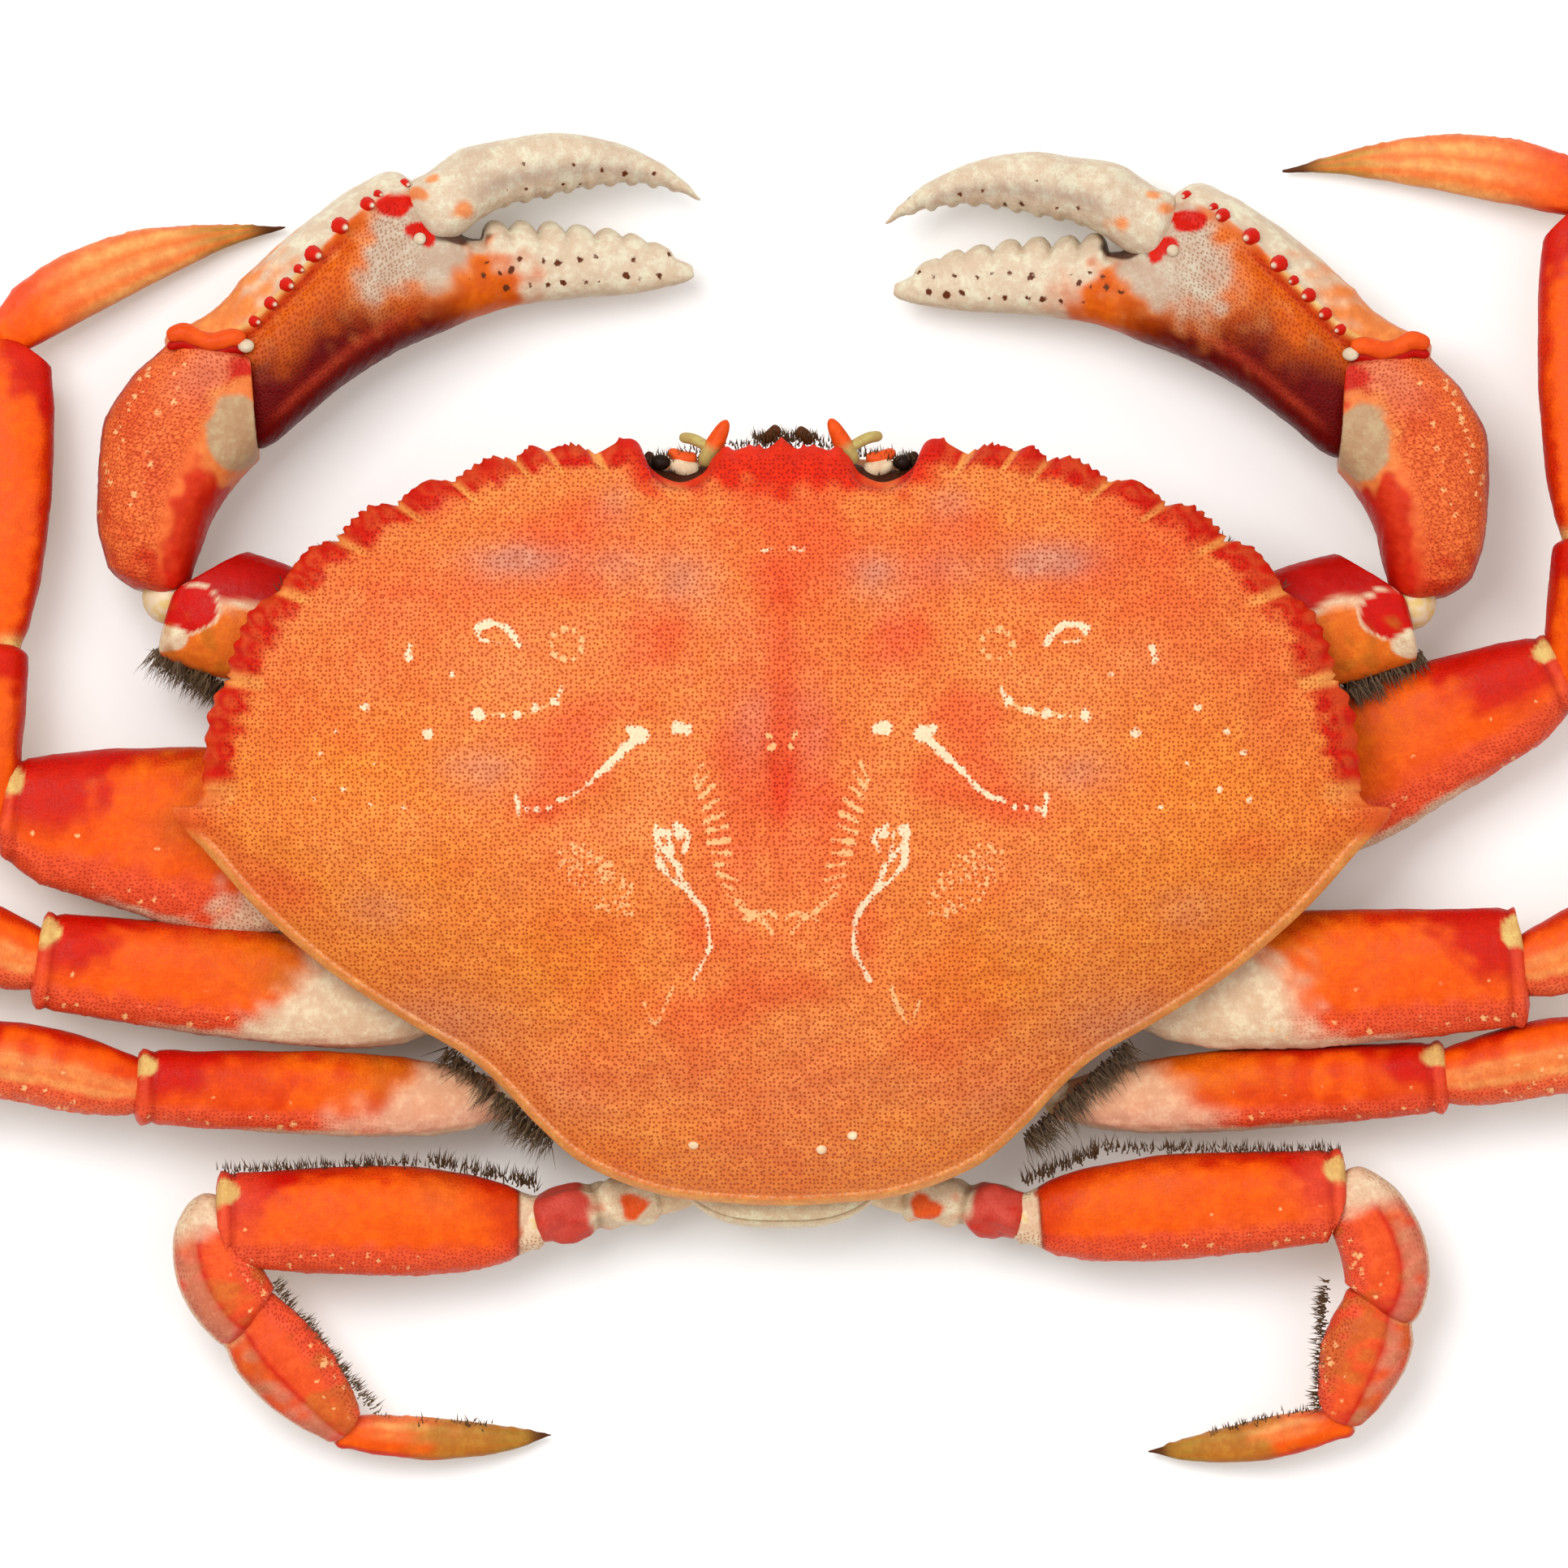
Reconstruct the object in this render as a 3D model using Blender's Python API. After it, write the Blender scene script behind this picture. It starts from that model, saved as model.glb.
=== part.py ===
"""A whole cooked crab lying on its belly: domed carapace with a toothed margin, two claws and eight legs.

Sizes are in millimetres and become metres where a mesh is made. X runs to the crab's right, Y to its
front and Z up. The origin is on the flat of the belly, below the middle of the carapace.
"""

import math

import bmesh
import bpy
from mathutils import Vector

MM = 0.001
GAP = 0.3
UP = Vector((0.0, 0.0, 1.0))
FORWARD = Vector((0.0, 1.0, 0.0))

# How strongly the outer corner of a bent joint is rounded off and the most that it moves, as shares, and
# how far apart the rings of a trimmed end stay
CORNER_ROUNDING = 0.75
MOST_ROUNDING = 0.75
END_RING_GAP = 0.25

# How crisp the edges of soft parts are shaded
SHARP_ANGLE = math.radians(40)

# Heights above the table
CROWN_Z = 49.0
CARAPACE_FLOOR_Z = 20.0
THORAX_TOP_Z = CARAPACE_FLOOR_Z - GAP

# Colours of the boiled shell, as red, green and blue
ORANGE = (0.80, 0.22, 0.05)
RED = (0.68, 0.07, 0.03)
CREAM = (0.78, 0.68, 0.52)
DARK = (0.10, 0.06, 0.04)

# The right half of the carapace margin, from the middle of the front to the middle of the rear. Each
# point has its place on the toothed edge, its place on the smooth edge that the dome follows, the
# height of the margin, and how far the tooth between it and the next point stands out.
MARGIN = [
    ((0.0, 54.8), (0.0, 53.6), 33.0, 0.0),
    ((2.4, 53.0), (3.0, 53.6), 33.0, 0.5),
    ((6.6, 52.8), (7.0, 53.6), 33.0, 0.4),
    ((9.6, 52.0), (11.0, 53.4), 32.8, 0.0),
    ((11.2, 49.6), (13.5, 53.3), 32.6, 0.0),
    ((14.7, 48.3), (16.5, 53.2), 32.4, 0.0),
    ((18.6, 50.2), (19.0, 53.0), 32.2, 0.0),
    ((21.2, 54.4), (22.0, 53.0), 32.0, 0.3),
    ((27.0, 52.2), (27.0, 52.8), 31.8, 1.9),
    ((33.2, 52.2), (33.2, 52.4), 31.5, 1.8),
    ((38.0, 51.0), (38.0, 51.6), 31.2, 2.0),
    ((46.7, 48.0), (46.7, 48.8), 30.6, 2.0),
    ((54.8, 44.8), (54.8, 45.4), 30.0, 2.1),
    ((63.3, 39.8), (63.3, 40.4), 29.2, 1.9),
    ((71.6, 32.4), (71.6, 32.8), 28.4, 2.0),
    ((79.0, 20.1), (79.0, 20.4), 27.4, 1.5),
    ((82.8, 3.8), (82.6, 4.2), 26.3, 0.0),
    ((87.5, 1.2), (83.2, 0.6), 26.0, 0.0),
    ((82.4, -4.9), (82.0, -4.8), 25.8, 0.0),
    ((74.9, -13.2), (74.9, -13.2), 25.2, 0.0),
    ((64.9, -21.8), (64.9, -21.8), 24.6, 0.0),
    ((54.2, -28.8), (54.2, -28.8), 24.0, 0.0),
    ((45.6, -33.8), (45.6, -33.8), 23.4, 0.0),
    ((40.2, -38.4), (40.2, -38.4), 22.9, 0.0),
    ((35.0, -44.0), (35.0, -44.0), 22.5, 0.0),
    ((28.0, -49.8), (28.0, -49.8), 22.2, 0.0),
    ((17.1, -54.0), (17.1, -54.0), 22.0, 0.0),
    ((5.6, -55.3), (5.6, -55.3), 22.0, 0.0),
    ((0.0, -55.5), (0.0, -55.5), 22.0, 0.0),
]
CARAPACE_CENTRE = (0.0, 2.0)

# Where a tooth stands out furthest, as a share of its span, and the powers that shape it and the dome
TOOTH_PEAK = 0.3
TOOTH_POWER = 0.7
DOME_POWERS = (2.4, 0.82)

# How far in from the margin the teeth reach on the top and the underside, as shares of the way to the
# middle, and how far in the swellings fade out
TOOTH_REACH = 0.14
TOOTH_FADE = 0.25
RELIEF_FADE = 0.2

RIM_THICKNESS = 0.9
FLOOR_DROP = 1.6

# Rings of the carapace, as shares of the way from its middle to the margin and from the margin to the floor
TOP_REACHES = (0.18, 0.36, 0.52, 0.66, 0.78, 0.88, 0.95, 1.0)
FLOOR_SHARES = (0.0, 0.12, 0.5, 1.0)
POINTS_PER_SPAN = 3

# Swellings and hollows of the carapace: middle, half widths, height. Those off the middle are mirrored.
REGIONS = [
    ((0.0, 24.0), (15.0, 15.0), 1.4),
    ((0.0, -20.0), (12.0, 14.0), 1.2),
    ((44.0, -4.0), (26.0, 18.0), 1.6),
    ((22.0, 34.0), (9.0, 8.0), 0.9),
    ((52.0, 26.0), (14.0, 10.0), 0.9),
    ((0.0, 5.0), (3.5, 8.0), -1.0),
    ((13.0, 24.0), (3.5, 10.0), -1.2),
    ((29.0, 0.0), (8.0, 3.5), -1.2),
    ((13.0, -18.0), (3.0, 8.0), -1.2),
    ((34.0, 38.0), (5.0, 4.0), -0.7),
    ((17.0, -40.0), (7.0, 3.5), -0.9),
]

# Where the flat floor of the carapace ends, as half widths to the side, the front and the rear
CARAPACE_FLOOR = (46.0, 42.0, 50.0)

# Profiles along a shell piece, from its near joint to its far one. Each row holds the place along the
# piece, the two edges as shares of its width (the first towards the front, or towards the body on a
# piece that points forward), and the top and bottom as shares of its half thickness.
MERUS = [
    (0.00, 0.20, -0.22, 0.50, 0.50),
    (0.07, 0.26, -0.30, 0.66, 0.66),
    (0.20, 0.38, -0.44, 0.90, 0.90),
    (0.42, 0.49, -0.52, 1.00, 1.00),
    (0.70, 0.44, -0.48, 1.00, 0.96),
    (0.90, 0.38, -0.40, 0.92, 0.88),
    (1.00, 0.35, -0.36, 0.86, 0.82),
]
CARPUS = [
    (0.00, 0.26, -0.26, 0.60, 0.60),
    (0.10, 0.32, -0.34, 0.78, 0.74),
    (0.28, 0.42, -0.44, 0.96, 0.92),
    (0.62, 0.49, -0.51, 1.02, 0.96),
    (0.88, 0.46, -0.48, 0.94, 0.88),
    (1.00, 0.42, -0.44, 0.88, 0.82),
]
PROPODUS = [
    (0.00, 0.22, -0.22, 0.56, 0.56),
    (0.07, 0.30, -0.30, 0.78, 0.78),
    (0.22, 0.42, -0.42, 0.98, 0.98),
    (0.50, 0.50, -0.50, 1.00, 1.00),
    (0.78, 0.47, -0.48, 0.92, 0.92),
    (0.94, 0.40, -0.42, 0.80, 0.80),
    (1.00, 0.33, -0.36, 0.70, 0.70),
]
DACTYL = [
    (0.00, 0.18, -0.42, 0.62, 0.62),
    (0.08, 0.20, -0.66, 0.92, 0.92),
    (0.26, 0.14, -0.84, 1.00, 1.00),
    (0.50, 0.04, -0.80, 0.86, 0.86),
    (0.72, -0.04, -0.54, 0.66, 0.66),
    (0.88, -0.04, -0.27, 0.42, 0.42),
    (1.00, 0.01, -0.03, 0.12, 0.12),
]
REAR_CARPUS = [
    (0.00, 0.22, -0.20, 0.60, 0.60),
    (0.12, 0.44, -0.22, 0.86, 0.80),
    (0.40, 0.60, -0.28, 1.02, 0.96),
    (0.75, 0.64, -0.30, 1.00, 0.94),
    (1.00, 0.58, -0.24, 0.90, 0.82),
]
REAR_PROPODUS = [
    (0.00, 0.46, -0.30, 0.66, 0.66),
    (0.20, 0.54, -0.40, 0.94, 0.94),
    (0.48, 0.50, -0.44, 1.00, 1.00),
    (0.78, 0.38, -0.36, 0.92, 0.92),
    (1.00, 0.22, -0.22, 0.70, 0.70),
]
REAR_DACTYL = [
    (0.00, 0.34, -0.30, 0.66, 0.66),
    (0.12, 0.46, -0.38, 0.96, 0.96),
    (0.36, 0.52, -0.38, 1.00, 1.00),
    (0.62, 0.42, -0.30, 0.80, 0.80),
    (0.84, 0.24, -0.18, 0.48, 0.48),
    (1.00, 0.03, -0.02, 0.12, 0.12),
]
BASE = [
    (0.00, 0.50, -0.50, 1.00, 1.00),
    (0.35, 0.44, -0.46, 0.94, 0.94),
    (0.72, 0.50, -0.50, 1.00, 1.00),
    (1.00, 0.36, -0.38, 0.80, 0.80),
]

MOUTH = [
    (0.00, 0.36, -0.30, 0.80, 0.80),
    (0.30, 0.50, -0.48, 1.00, 1.00),
    (0.70, 0.50, -0.50, 1.00, 1.00),
    (1.00, 0.34, -0.46, 0.80, 0.80),
]

# The claws, with edges and half thicknesses in millimetres
CLAW_MERUS = [
    (0.00, 6.0, -7.0, 5.5, 5.5),
    (0.20, 8.6, -7.6, 7.0, 6.6),
    (0.50, 9.6, -8.8, 7.6, 7.0),
    (0.84, 8.8, -8.8, 7.4, 6.8),
    (1.00, 6.4, -8.4, 6.4, 6.4),
]
CLAW_CARPUS = [
    (0.00, 1.6, -5.4, 5.5, 5.5),
    (0.08, 2.2, -8.6, 8.0, 7.6),
    (0.24, 2.8, -12.2, 10.0, 9.4),
    (0.48, 5.0, -14.0, 10.8, 10.0),
    (0.66, 7.2, -14.3, 10.6, 10.0),
    (0.86, 6.2, -11.6, 9.8, 9.2),
    (1.00, 4.0, -6.6, 8.0, 7.6),
]
PALM = [
    (0.00, 11.0, -4.6, 6.8, 6.4),
    (0.04, 14.0, -7.4, 8.2, 7.6),
    (0.12, 12.4, -12.4, 9.2, 8.2),
    (0.24, 7.8, -18.2, 9.6, 8.4),
    (0.36, 3.2, -21.4, 9.2, 8.2),
    (0.44, 1.2, -20.4, 8.6, 7.6),
    (0.52, 0.0, -13.6, 7.4, 6.6),
    (0.58, -0.4, -10.8, 5.8, 5.2),
    (0.68, -0.3, -10.0, 4.9, 4.4),
    (0.80, 0.2, -8.0, 4.0, 3.6),
    (0.90, 0.8, -4.6, 2.9, 2.6),
    (1.00, 0.3, -0.5, 0.7, 0.7),
]
FINGER = [
    (0.00, 5.6, -4.4, 6.8, 6.2),
    (0.12, 4.4, -7.4, 7.2, 6.4),
    (0.28, 0.6, -9.0, 6.4, 5.6),
    (0.46, -1.8, -9.5, 5.4, 4.8),
    (0.64, -2.6, -8.6, 4.3, 3.9),
    (0.82, -2.3, -6.0, 3.0, 2.8),
    (0.93, -1.3, -3.1, 1.8, 1.7),
    (1.00, -0.1, -0.6, 0.5, 0.5),
]

# Joints of each limb: X, Y and Z. A leg has its coxa, the ends of base, merus, carpus and propodus,
# and its tip, then the widths of merus, carpus, propodus and dactyl and half their thickness.
LEGS = {
    "leg_1_left": {
        "joints": [
            (-38, 3, 9), (-59, -4, 12.5), (-114.5, 1.2, 16),
            (-113.8, 23.8, 15), (-111.5, 69.3, 9), (-71.9, 85.7, 1.6),
        ],
        "widths": (25.0, 14.5, 15.0, 10.0),
        "halves": (6.2, 6.0, 4.6, 3.2),
    },
    "leg_2_left": {
        "joints": [
            (-36, -13, 9), (-50, -28.5, 12), (-108.6, -18.6, 15.5),
            (-131.9, -9.9, 14.5), (-162, 18, 9), (-160, 61, 1.6),
        ],
        "widths": (16.8, 12.5, 13.5, 9.5),
        "halves": (6.0, 5.8, 4.6, 3.2),
    },
    "leg_3_left": {
        "joints": [
            (-30, -29, 9), (-41, -41, 11.5), (-93.4, -38.7, 15),
            (-117.9, -34.5, 14), (-151, -46, 9), (-178, -75, 1.6),
        ],
        "widths": (12.2, 11.6, 11.5, 8.5),
        "halves": (5.8, 5.4, 4.3, 3.0),
    },
    "leg_4_left": {
        "joints": [
            (-18, -53.8, 9.5), (-35.8, -58.8, 11.5), (-82, -57.7, 13),
            (-75, -74.6, 11), (-62.6, -89.4, 8), (-33.4, -89.4, 1.6),
        ],
        "widths": (15.4, 13.6, 12.4, 5.8),
        "halves": (5.8, 5.4, 4.4, 2.6),
    },
    "leg_1_right": {
        "joints": [
            (38, 3, 8), (59.5, -1.4, 8.2), (114.5, 22.2, 13),
            (116, 40.2, 15), (116.3, 89.1, 9), (72.6, 93.8, 1.6),
        ],
        "widths": (21.0, 13.5, 15.0, 9.6),
        "halves": (6.2, 6.0, 4.6, 3.2),
    },
    "leg_2_right": {
        "joints": [
            (36, -13, 9), (50, -24.5, 12.5), (108.1, -21.0, 16.5),
            (130.8, -9.9, 14.5), (161.5, 17.5, 9), (160, 60, 1.6),
        ],
        "widths": (19.5, 12.5, 13.5, 9.5),
        "halves": (6.0, 5.8, 4.6, 3.2),
    },
    "leg_3_right": {
        "joints": [
            (30, -29, 8), (41, -41.5, 9.5), (96.5, -36.3, 12.5),
            (120.9, -33.8, 13), (154.5, -46, 9), (181, -75, 1.6),
        ],
        "widths": (12.0, 11.4, 11.5, 8.5),
        "halves": (5.8, 5.4, 4.3, 3.0),
    },
    "leg_4_right": {
        "joints": [
            (18, -53.8, 9.5), (35, -58, 11.5), (82.2, -54.5, 13),
            (85.4, -74.6, 11), (80.4, -88.5, 8), (53.4, -91.9, 1.6),
        ],
        "widths": (15.0, 13.6, 12.4, 5.8),
        "halves": (5.8, 5.4, 4.4, 2.6),
    },
}

# Each claw has the root and end of its merus, its wrist, the tip of the fixed finger, the hinge of the
# moving finger and that finger's tip.
CLAWS = {
    "claw_left": [
        (-42, 17, 13), (-64.5, 25.4, 15.5), (-88.2, 32, 14.5), (-80, 67.6, 13),
        (-12.7, 78.3, 7), (-49.7, 90.5, 13.5), (-11.8, 89.4, 8),
    ],
    "claw_right": [
        (42, 17, 13), (65.2, 24.8, 16), (90.4, 31.2, 15), (84.8, 66.4, 13),
        (16.2, 75.7, 7), (52.7, 88.3, 13.5), (15.1, 86, 8),
    ],
}


def mix(a, b, share):
    return a + (b - a) * share


def smooth_step(value):
    value = min(max(value, 0.0), 1.0)
    return value * value * (3.0 - 2.0 * value)


def through(values, place):
    """A smooth curve through evenly numbered values, read at a fractional place."""
    last = len(values) - 1
    i = min(int(place), last - 1)
    share = place - i
    before, start, end, after = (values[max(i - 1, 0)], values[i], values[i + 1], values[min(i + 2, last)])
    slope_in = (end - before) / 2.0
    slope_out = (after - start) / 2.0
    square = share * share
    cube = square * share
    return (
        (2 * cube - 3 * square + 1) * start
        + (cube - 2 * square + share) * slope_in
        + (3 * square - 2 * cube) * end
        + (cube - square) * slope_out
    )


def profile_at(profile, place):
    """A profile's row at a place along the piece, on a smooth curve through its rows."""
    last = len(profile) - 1
    i = min(max(k for k in range(last) if profile[k][0] <= place), last - 1)
    share = (place - profile[i][0]) / (profile[i + 1][0] - profile[i][0])
    return [through([row[column] for row in profile], i + share) for column in range(1, 5)]


def material(name, colour, roughness=0.45):
    made = bpy.data.materials.new(name)
    made.use_nodes = True
    shader = made.node_tree.nodes["Principled BSDF"]
    shader.inputs["Base Color"].default_value = (*colour, 1.0)
    shader.inputs["Roughness"].default_value = roughness
    return made


def loft(name, rings, finish, collection, start_pole=None, end_pole=None):
    """A closed solid through rings of equally many points, with each end flat or drawn to a pole."""
    shape = bmesh.new()
    made = [[shape.verts.new(point * MM) for point in ring] for ring in rings]
    for ring, following in zip(made, made[1:]):
        for i in range(len(ring)):
            j = (i + 1) % len(ring)
            shape.faces.new((ring[i], ring[j], following[j], following[i]))
    for ring, pole, flip in ((made[0], start_pole, True), (made[-1], end_pole, False)):
        if pole is None:
            shape.faces.new(reversed(ring) if flip else ring)
            continue
        tip = shape.verts.new(pole * MM)
        for i in range(len(ring)):
            j = (i + 1) % len(ring)
            corners = (ring[j], ring[i], tip) if flip else (ring[i], ring[j], tip)
            shape.faces.new(corners)
    bmesh.ops.recalc_face_normals(shape, faces=shape.faces)
    mesh = bpy.data.meshes.new(name)
    shape.to_mesh(mesh)
    shape.free()
    mesh.shade_smooth()
    mesh.set_sharp_from_angle(angle=SHARP_ANGLE)
    mesh.materials.append(finish)
    piece = bpy.data.objects.new(name, mesh)
    collection.objects.link(piece)
    return piece


def superellipse(angle, power):
    c, s = math.cos(angle), math.sin(angle)
    return (math.copysign(abs(c) ** (2.0 / power), c), math.copysign(abs(s) ** (2.0 / power), s))


def shell_piece(start, end, profile, side, width=1.0, half=1.0, sides=10, steps=1, power=2.5):
    """Rings of a shell piece between two joints, and the direction that it runs in."""
    along = end - start
    length = along.length
    along.normalize()
    across = (UP.cross(along) * side).normalized()
    over = along.cross(across) * side
    places = []
    for row, following in zip(profile, profile[1:]):
        places += [mix(row[0], following[0], k / steps) for k in range(steps)]
    places.append(profile[-1][0])
    rings = []
    for place in places:
        front, back, top, bottom = profile_at(profile, place)
        middle = start + along * length * place + across * width * (front + back) / 2.0
        ring = []
        for k in range(sides):
            x, z = superellipse(2.0 * math.pi * (k + 0.5) / sides, power)
            rise = (top if z > 0 else bottom) * half
            ring.append(middle + across * x * width * (front - back) / 2.0 + over * z * rise)
        rings.append(ring)
    return rings, along


def mitre(rings, along, joint, normal, from_start):
    """Trims one end of a piece to a plane through its joint, with half the gap left to its neighbour."""
    if from_start:
        along, normal = -along, -normal
    order = list(reversed(rings)) if not from_start else rings
    for number, ring in enumerate(order):
        limit = -GAP / 2.0 - END_RING_GAP * number
        for point in ring:
            past = (point - joint).dot(normal) - limit
            if number == 0 and past < 0:
                out = point - joint
                out -= along * out.dot(along)
                point -= out * min(-past * CORNER_ROUNDING / out.length, MOST_ROUNDING)
                past = (point - joint).dot(normal) - limit
            if past > 0 or number == 0:
                point -= along * (past / along.dot(normal))


def bend_normal(before, joint, after):
    return ((joint - before).normalized() + (after - joint).normalized()).normalized()


def carapace_margin(per_span):
    """Points right round the carapace margin: on the toothed edge, on the smooth edge, and the height."""
    half = []
    last = len(MARGIN) - 1
    for i in range(last):
        for k in range(per_span):
            place = i + k / per_span
            edge, base = [
                [through([row[kind][axis] for row in MARGIN], place) for axis in (0, 1)] for kind in (0, 1)
            ]
            height = through([row[2] for row in MARGIN], place)
            share = k / per_span
            rise = share / TOOTH_PEAK if share < TOOTH_PEAK else (1.0 - share) / (1.0 - TOOTH_PEAK)
            out = Vector((*base, 0.0)) - Vector((*CARAPACE_CENTRE, 0.0))
            out.normalize()
            tooth = MARGIN[i][3] * rise**TOOTH_POWER
            half.append((edge[0] + out.x * tooth, edge[1] + out.y * tooth, *base, height))
    rear = MARGIN[last]
    half.append((*rear[0], *rear[1], rear[2]))
    left = [(-x, y, -bx, by, z) for x, y, bx, by, z in half[1:-1]]
    return half + left[::-1]


def relief(x, y):
    total = 0.0
    for (cx, cy), (wx, wy), height in REGIONS:
        for side in (1, -1) if cx else (1,):
            total += height * math.exp(-(((x - side * cx) / wx) ** 2) - ((y - cy) / wy) ** 2)
    return total


def carapace_point(row, reach):
    """A point of the dome, at a share of the way from its middle to the margin point in row."""
    x, y, bx, by, rim = row
    cx, cy = CARAPACE_CENTRE
    near_edge = smooth_step((reach - 1.0 + TOOTH_REACH) / TOOTH_REACH)
    px = mix(cx, bx, reach) + (x - bx) * near_edge
    py = mix(cy, by, reach) + (y - by) * near_edge
    dome = (1.0 - reach ** DOME_POWERS[0]) ** DOME_POWERS[1] if reach < 1.0 else 0.0
    fade = 1.0 - smooth_step((reach - 1.0 + RELIEF_FADE) / RELIEF_FADE)
    return Vector((px, py, mix(rim, CROWN_Z, dome) + relief(px, py) * fade))


def floor_point(row, share):
    """A point of the underside, at a share of the way from the margin in to the flat floor."""
    x, y, bx, by, rim = row
    angle = math.atan2(by, bx)
    side, front, rear = CARAPACE_FLOOR
    depth = front if by > 0 else rear
    reach = 1.0 / math.hypot(math.cos(angle) / side, math.sin(angle) / depth)
    inner = Vector((math.cos(angle) * reach, math.sin(angle) * reach, CARAPACE_FLOOR_Z))
    toothed = 1.0 - smooth_step(share / TOOTH_FADE)
    start = Vector((mix(bx, x, toothed), mix(by, y, toothed), rim - RIM_THICKNESS))
    drop = 1.0 - (1.0 - share) ** FLOOR_DROP
    return Vector((mix(start.x, inner.x, share), mix(start.y, inner.y, share), mix(start.z, inner.z, drop)))


def make_carapace(finish, collection):
    rows = carapace_margin(POINTS_PER_SPAN)
    crown = carapace_point(rows[0], 0.0)
    rings = [[carapace_point(row, reach) for row in rows] for reach in TOP_REACHES]
    rings += [[floor_point(row, share) for row in rows] for share in FLOOR_SHARES]
    return loft("carapace", rings, finish, collection, start_pole=crown)


# Half outline of the thorax from front to rear: half width, Y, and how far its underside is rounded up
THORAX = [
    (7.0, 47.0, 9.4),
    (16.0, 42.0, 8.0),
    (20.0, 32.0, 5.2),
    (24.0, 24.0, 3.6),
    (28.0, 17.0, 0.8),
    (33.0, 12.0, 0.0),
    (35.0, 0.0, 0.0),
    (33.0, -13.0, 0.0),
    (29.0, -27.0, 0.0),
    (23.0, -38.0, 1.0),
    (16.5, -46.0, 3.0),
    (11.0, -52.0, 5.0),
]
BELLY_FLAT = 0.62

# The thorax's section from its top to its belly: half width as a share, height, and share of the lift
THORAX_SECTION = [
    (0.92, THORAX_TOP_Z, 0.0),
    (1.0, 13.0, 0.0),
    (0.97, 7.0, 1.0),
    (0.84, 2.2, 1.0),
    (BELLY_FLAT, 0.0, 0.8),
]

# The tail plate folded round the rear and along the belly: Y, Z and half width of its outer face
APRON = [
    (-55.4, 19.4, 12.0),
    (-58.2, 17.4, 14.4),
    (-59.0, 11.0, 13.6),
    (-57.6, 5.0, 12.6),
    (-54.0, 1.2, 12.0),
    (-49.0, 0.0, 12.4),
    (-36.0, 0.0, 15.0),
    (-24.0, 0.0, 11.0),
    (-10.0, 0.0, 7.6),
    (4.0, 0.0, 5.2),
    (10.0, 0.0, 2.6),
]
APRON_THICKNESS = 2.0

# The bar under the front margin, between the eyes: X, height of its top
FACE = [(0.0, 27.5), (8.0, 27.0), (11.0, 25.2), (19.0, 24.8), (22.0, 23.5)]
FACE_REAR = (47.9, 23.0)
FACE_TOP_Y = 51.4
FACE_FRONT = [(52.2, 23.4), (50.8, 19.5), (48.6, 14.0), (47.7, 14.4)]

# How the bar's ends change from its middle: the top's slope back, the turn back and the rise of its foot
FACE_MIDDLE_TOP = 28.0
FACE_SLOPE = 0.6
FACE_TURN = 0.9
FACE_FOOT_TOP = 20.0
FACE_RISE = 0.7

EYE_MIDDLE = (14.6, 51.3, 27.8)
EYE_HALF = (3.8, 2.1, 2.0)
EYE_TURNS = (-84, -50, -17, 17, 50, 84)
EYE_SIDES = 12

# The stout antenna bases between the eyes: root and tip on the right, width and half thickness
ANTENNA = [
    (0.00, 0.42, -0.42, 0.84, 0.84),
    (0.30, 0.50, -0.50, 1.00, 1.00),
    (0.75, 0.44, -0.44, 0.88, 0.88),
    (1.00, 0.24, -0.24, 0.48, 0.48),
]
ANTENNA_ROOT = (10.4, 54.4, 24.6)
ANTENNA_TIP = (7.3, 57.8, 30.4)
ANTENNA_WIDTH = 3.0
ANTENNA_HALF = 1.5

# The flat jaw feet: rear and front ends on the right, width, half thickness
JAW_REAR = (5.6, 27.0, 1.4)
JAW_FRONT = (5.6, 47.5, 5.6)
JAW_WIDTH = 9.6
JAW_HALF = 1.1

# A limb's base against its merus, in width and half thickness, and the claw's base in millimetres
BASE_WIDTH = 0.5
BASE_HALF = 0.84
CLAW_BASE = (12.0, 6.0)

# The way that the hinge of the moving finger faces: outward share and forward share
HINGE_FACING = (-0.66, 0.75)


def make_thorax(finish, collection):
    """The body under the carapace: steep sides where the legs join, and a flat belly."""
    rings = []
    for half, y, lift in THORAX:
        ring = [Vector((half * share, y, height + lift * raised)) for share, height, raised in THORAX_SECTION]
        ring += [Vector((-p.x, p.y, p.z)) for p in reversed(ring)]
        rings.append(ring)
    return loft("thorax", rings, finish, collection)


def apron_rings(spare):
    """Rings of the tail plate along its run, grown by spare on its sides and its inner face."""
    rings = []
    last = len(APRON) - 1
    for i, (y, z, half) in enumerate(APRON):
        before, after = APRON[max(i - 1, 0)], APRON[min(i + 1, last)]
        inward = Vector((0.0, before[1] - after[1], after[0] - before[0])).normalized()
        outer = Vector((0.0, y, z)) - inward * spare
        inner = Vector((0.0, y, z)) + inward * (APRON_THICKNESS + spare)
        half += spare
        rings.append(
            [
                outer + Vector((-half, 0, 0)),
                outer + Vector((half, 0, 0)),
                inner + Vector((half, 0, 0)),
                inner + Vector((-half, 0, 0)),
            ]
        )
    if spare:
        upward = Vector((0.0, *APRON[0][:2])) - Vector((0.0, *APRON[1][:2]))
        for ring, way in ((rings[0], upward.normalized()), (rings[-1], FORWARD)):
            for point in ring:
                point += way * spare
    return rings


def make_apron(thorax, finish, collection):
    """The tail plate, and the hollow for it in the belly."""
    cutter = loft("apron_hollow", apron_rings(GAP), finish, collection)
    cutter.hide_render = True
    cut = thorax.modifiers.new("hollow", "BOOLEAN")
    cut.operation = "DIFFERENCE"
    cut.solver = "EXACT"
    cut.object = cutter
    loft("apron", apron_rings(0.0), finish, collection)


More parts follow.
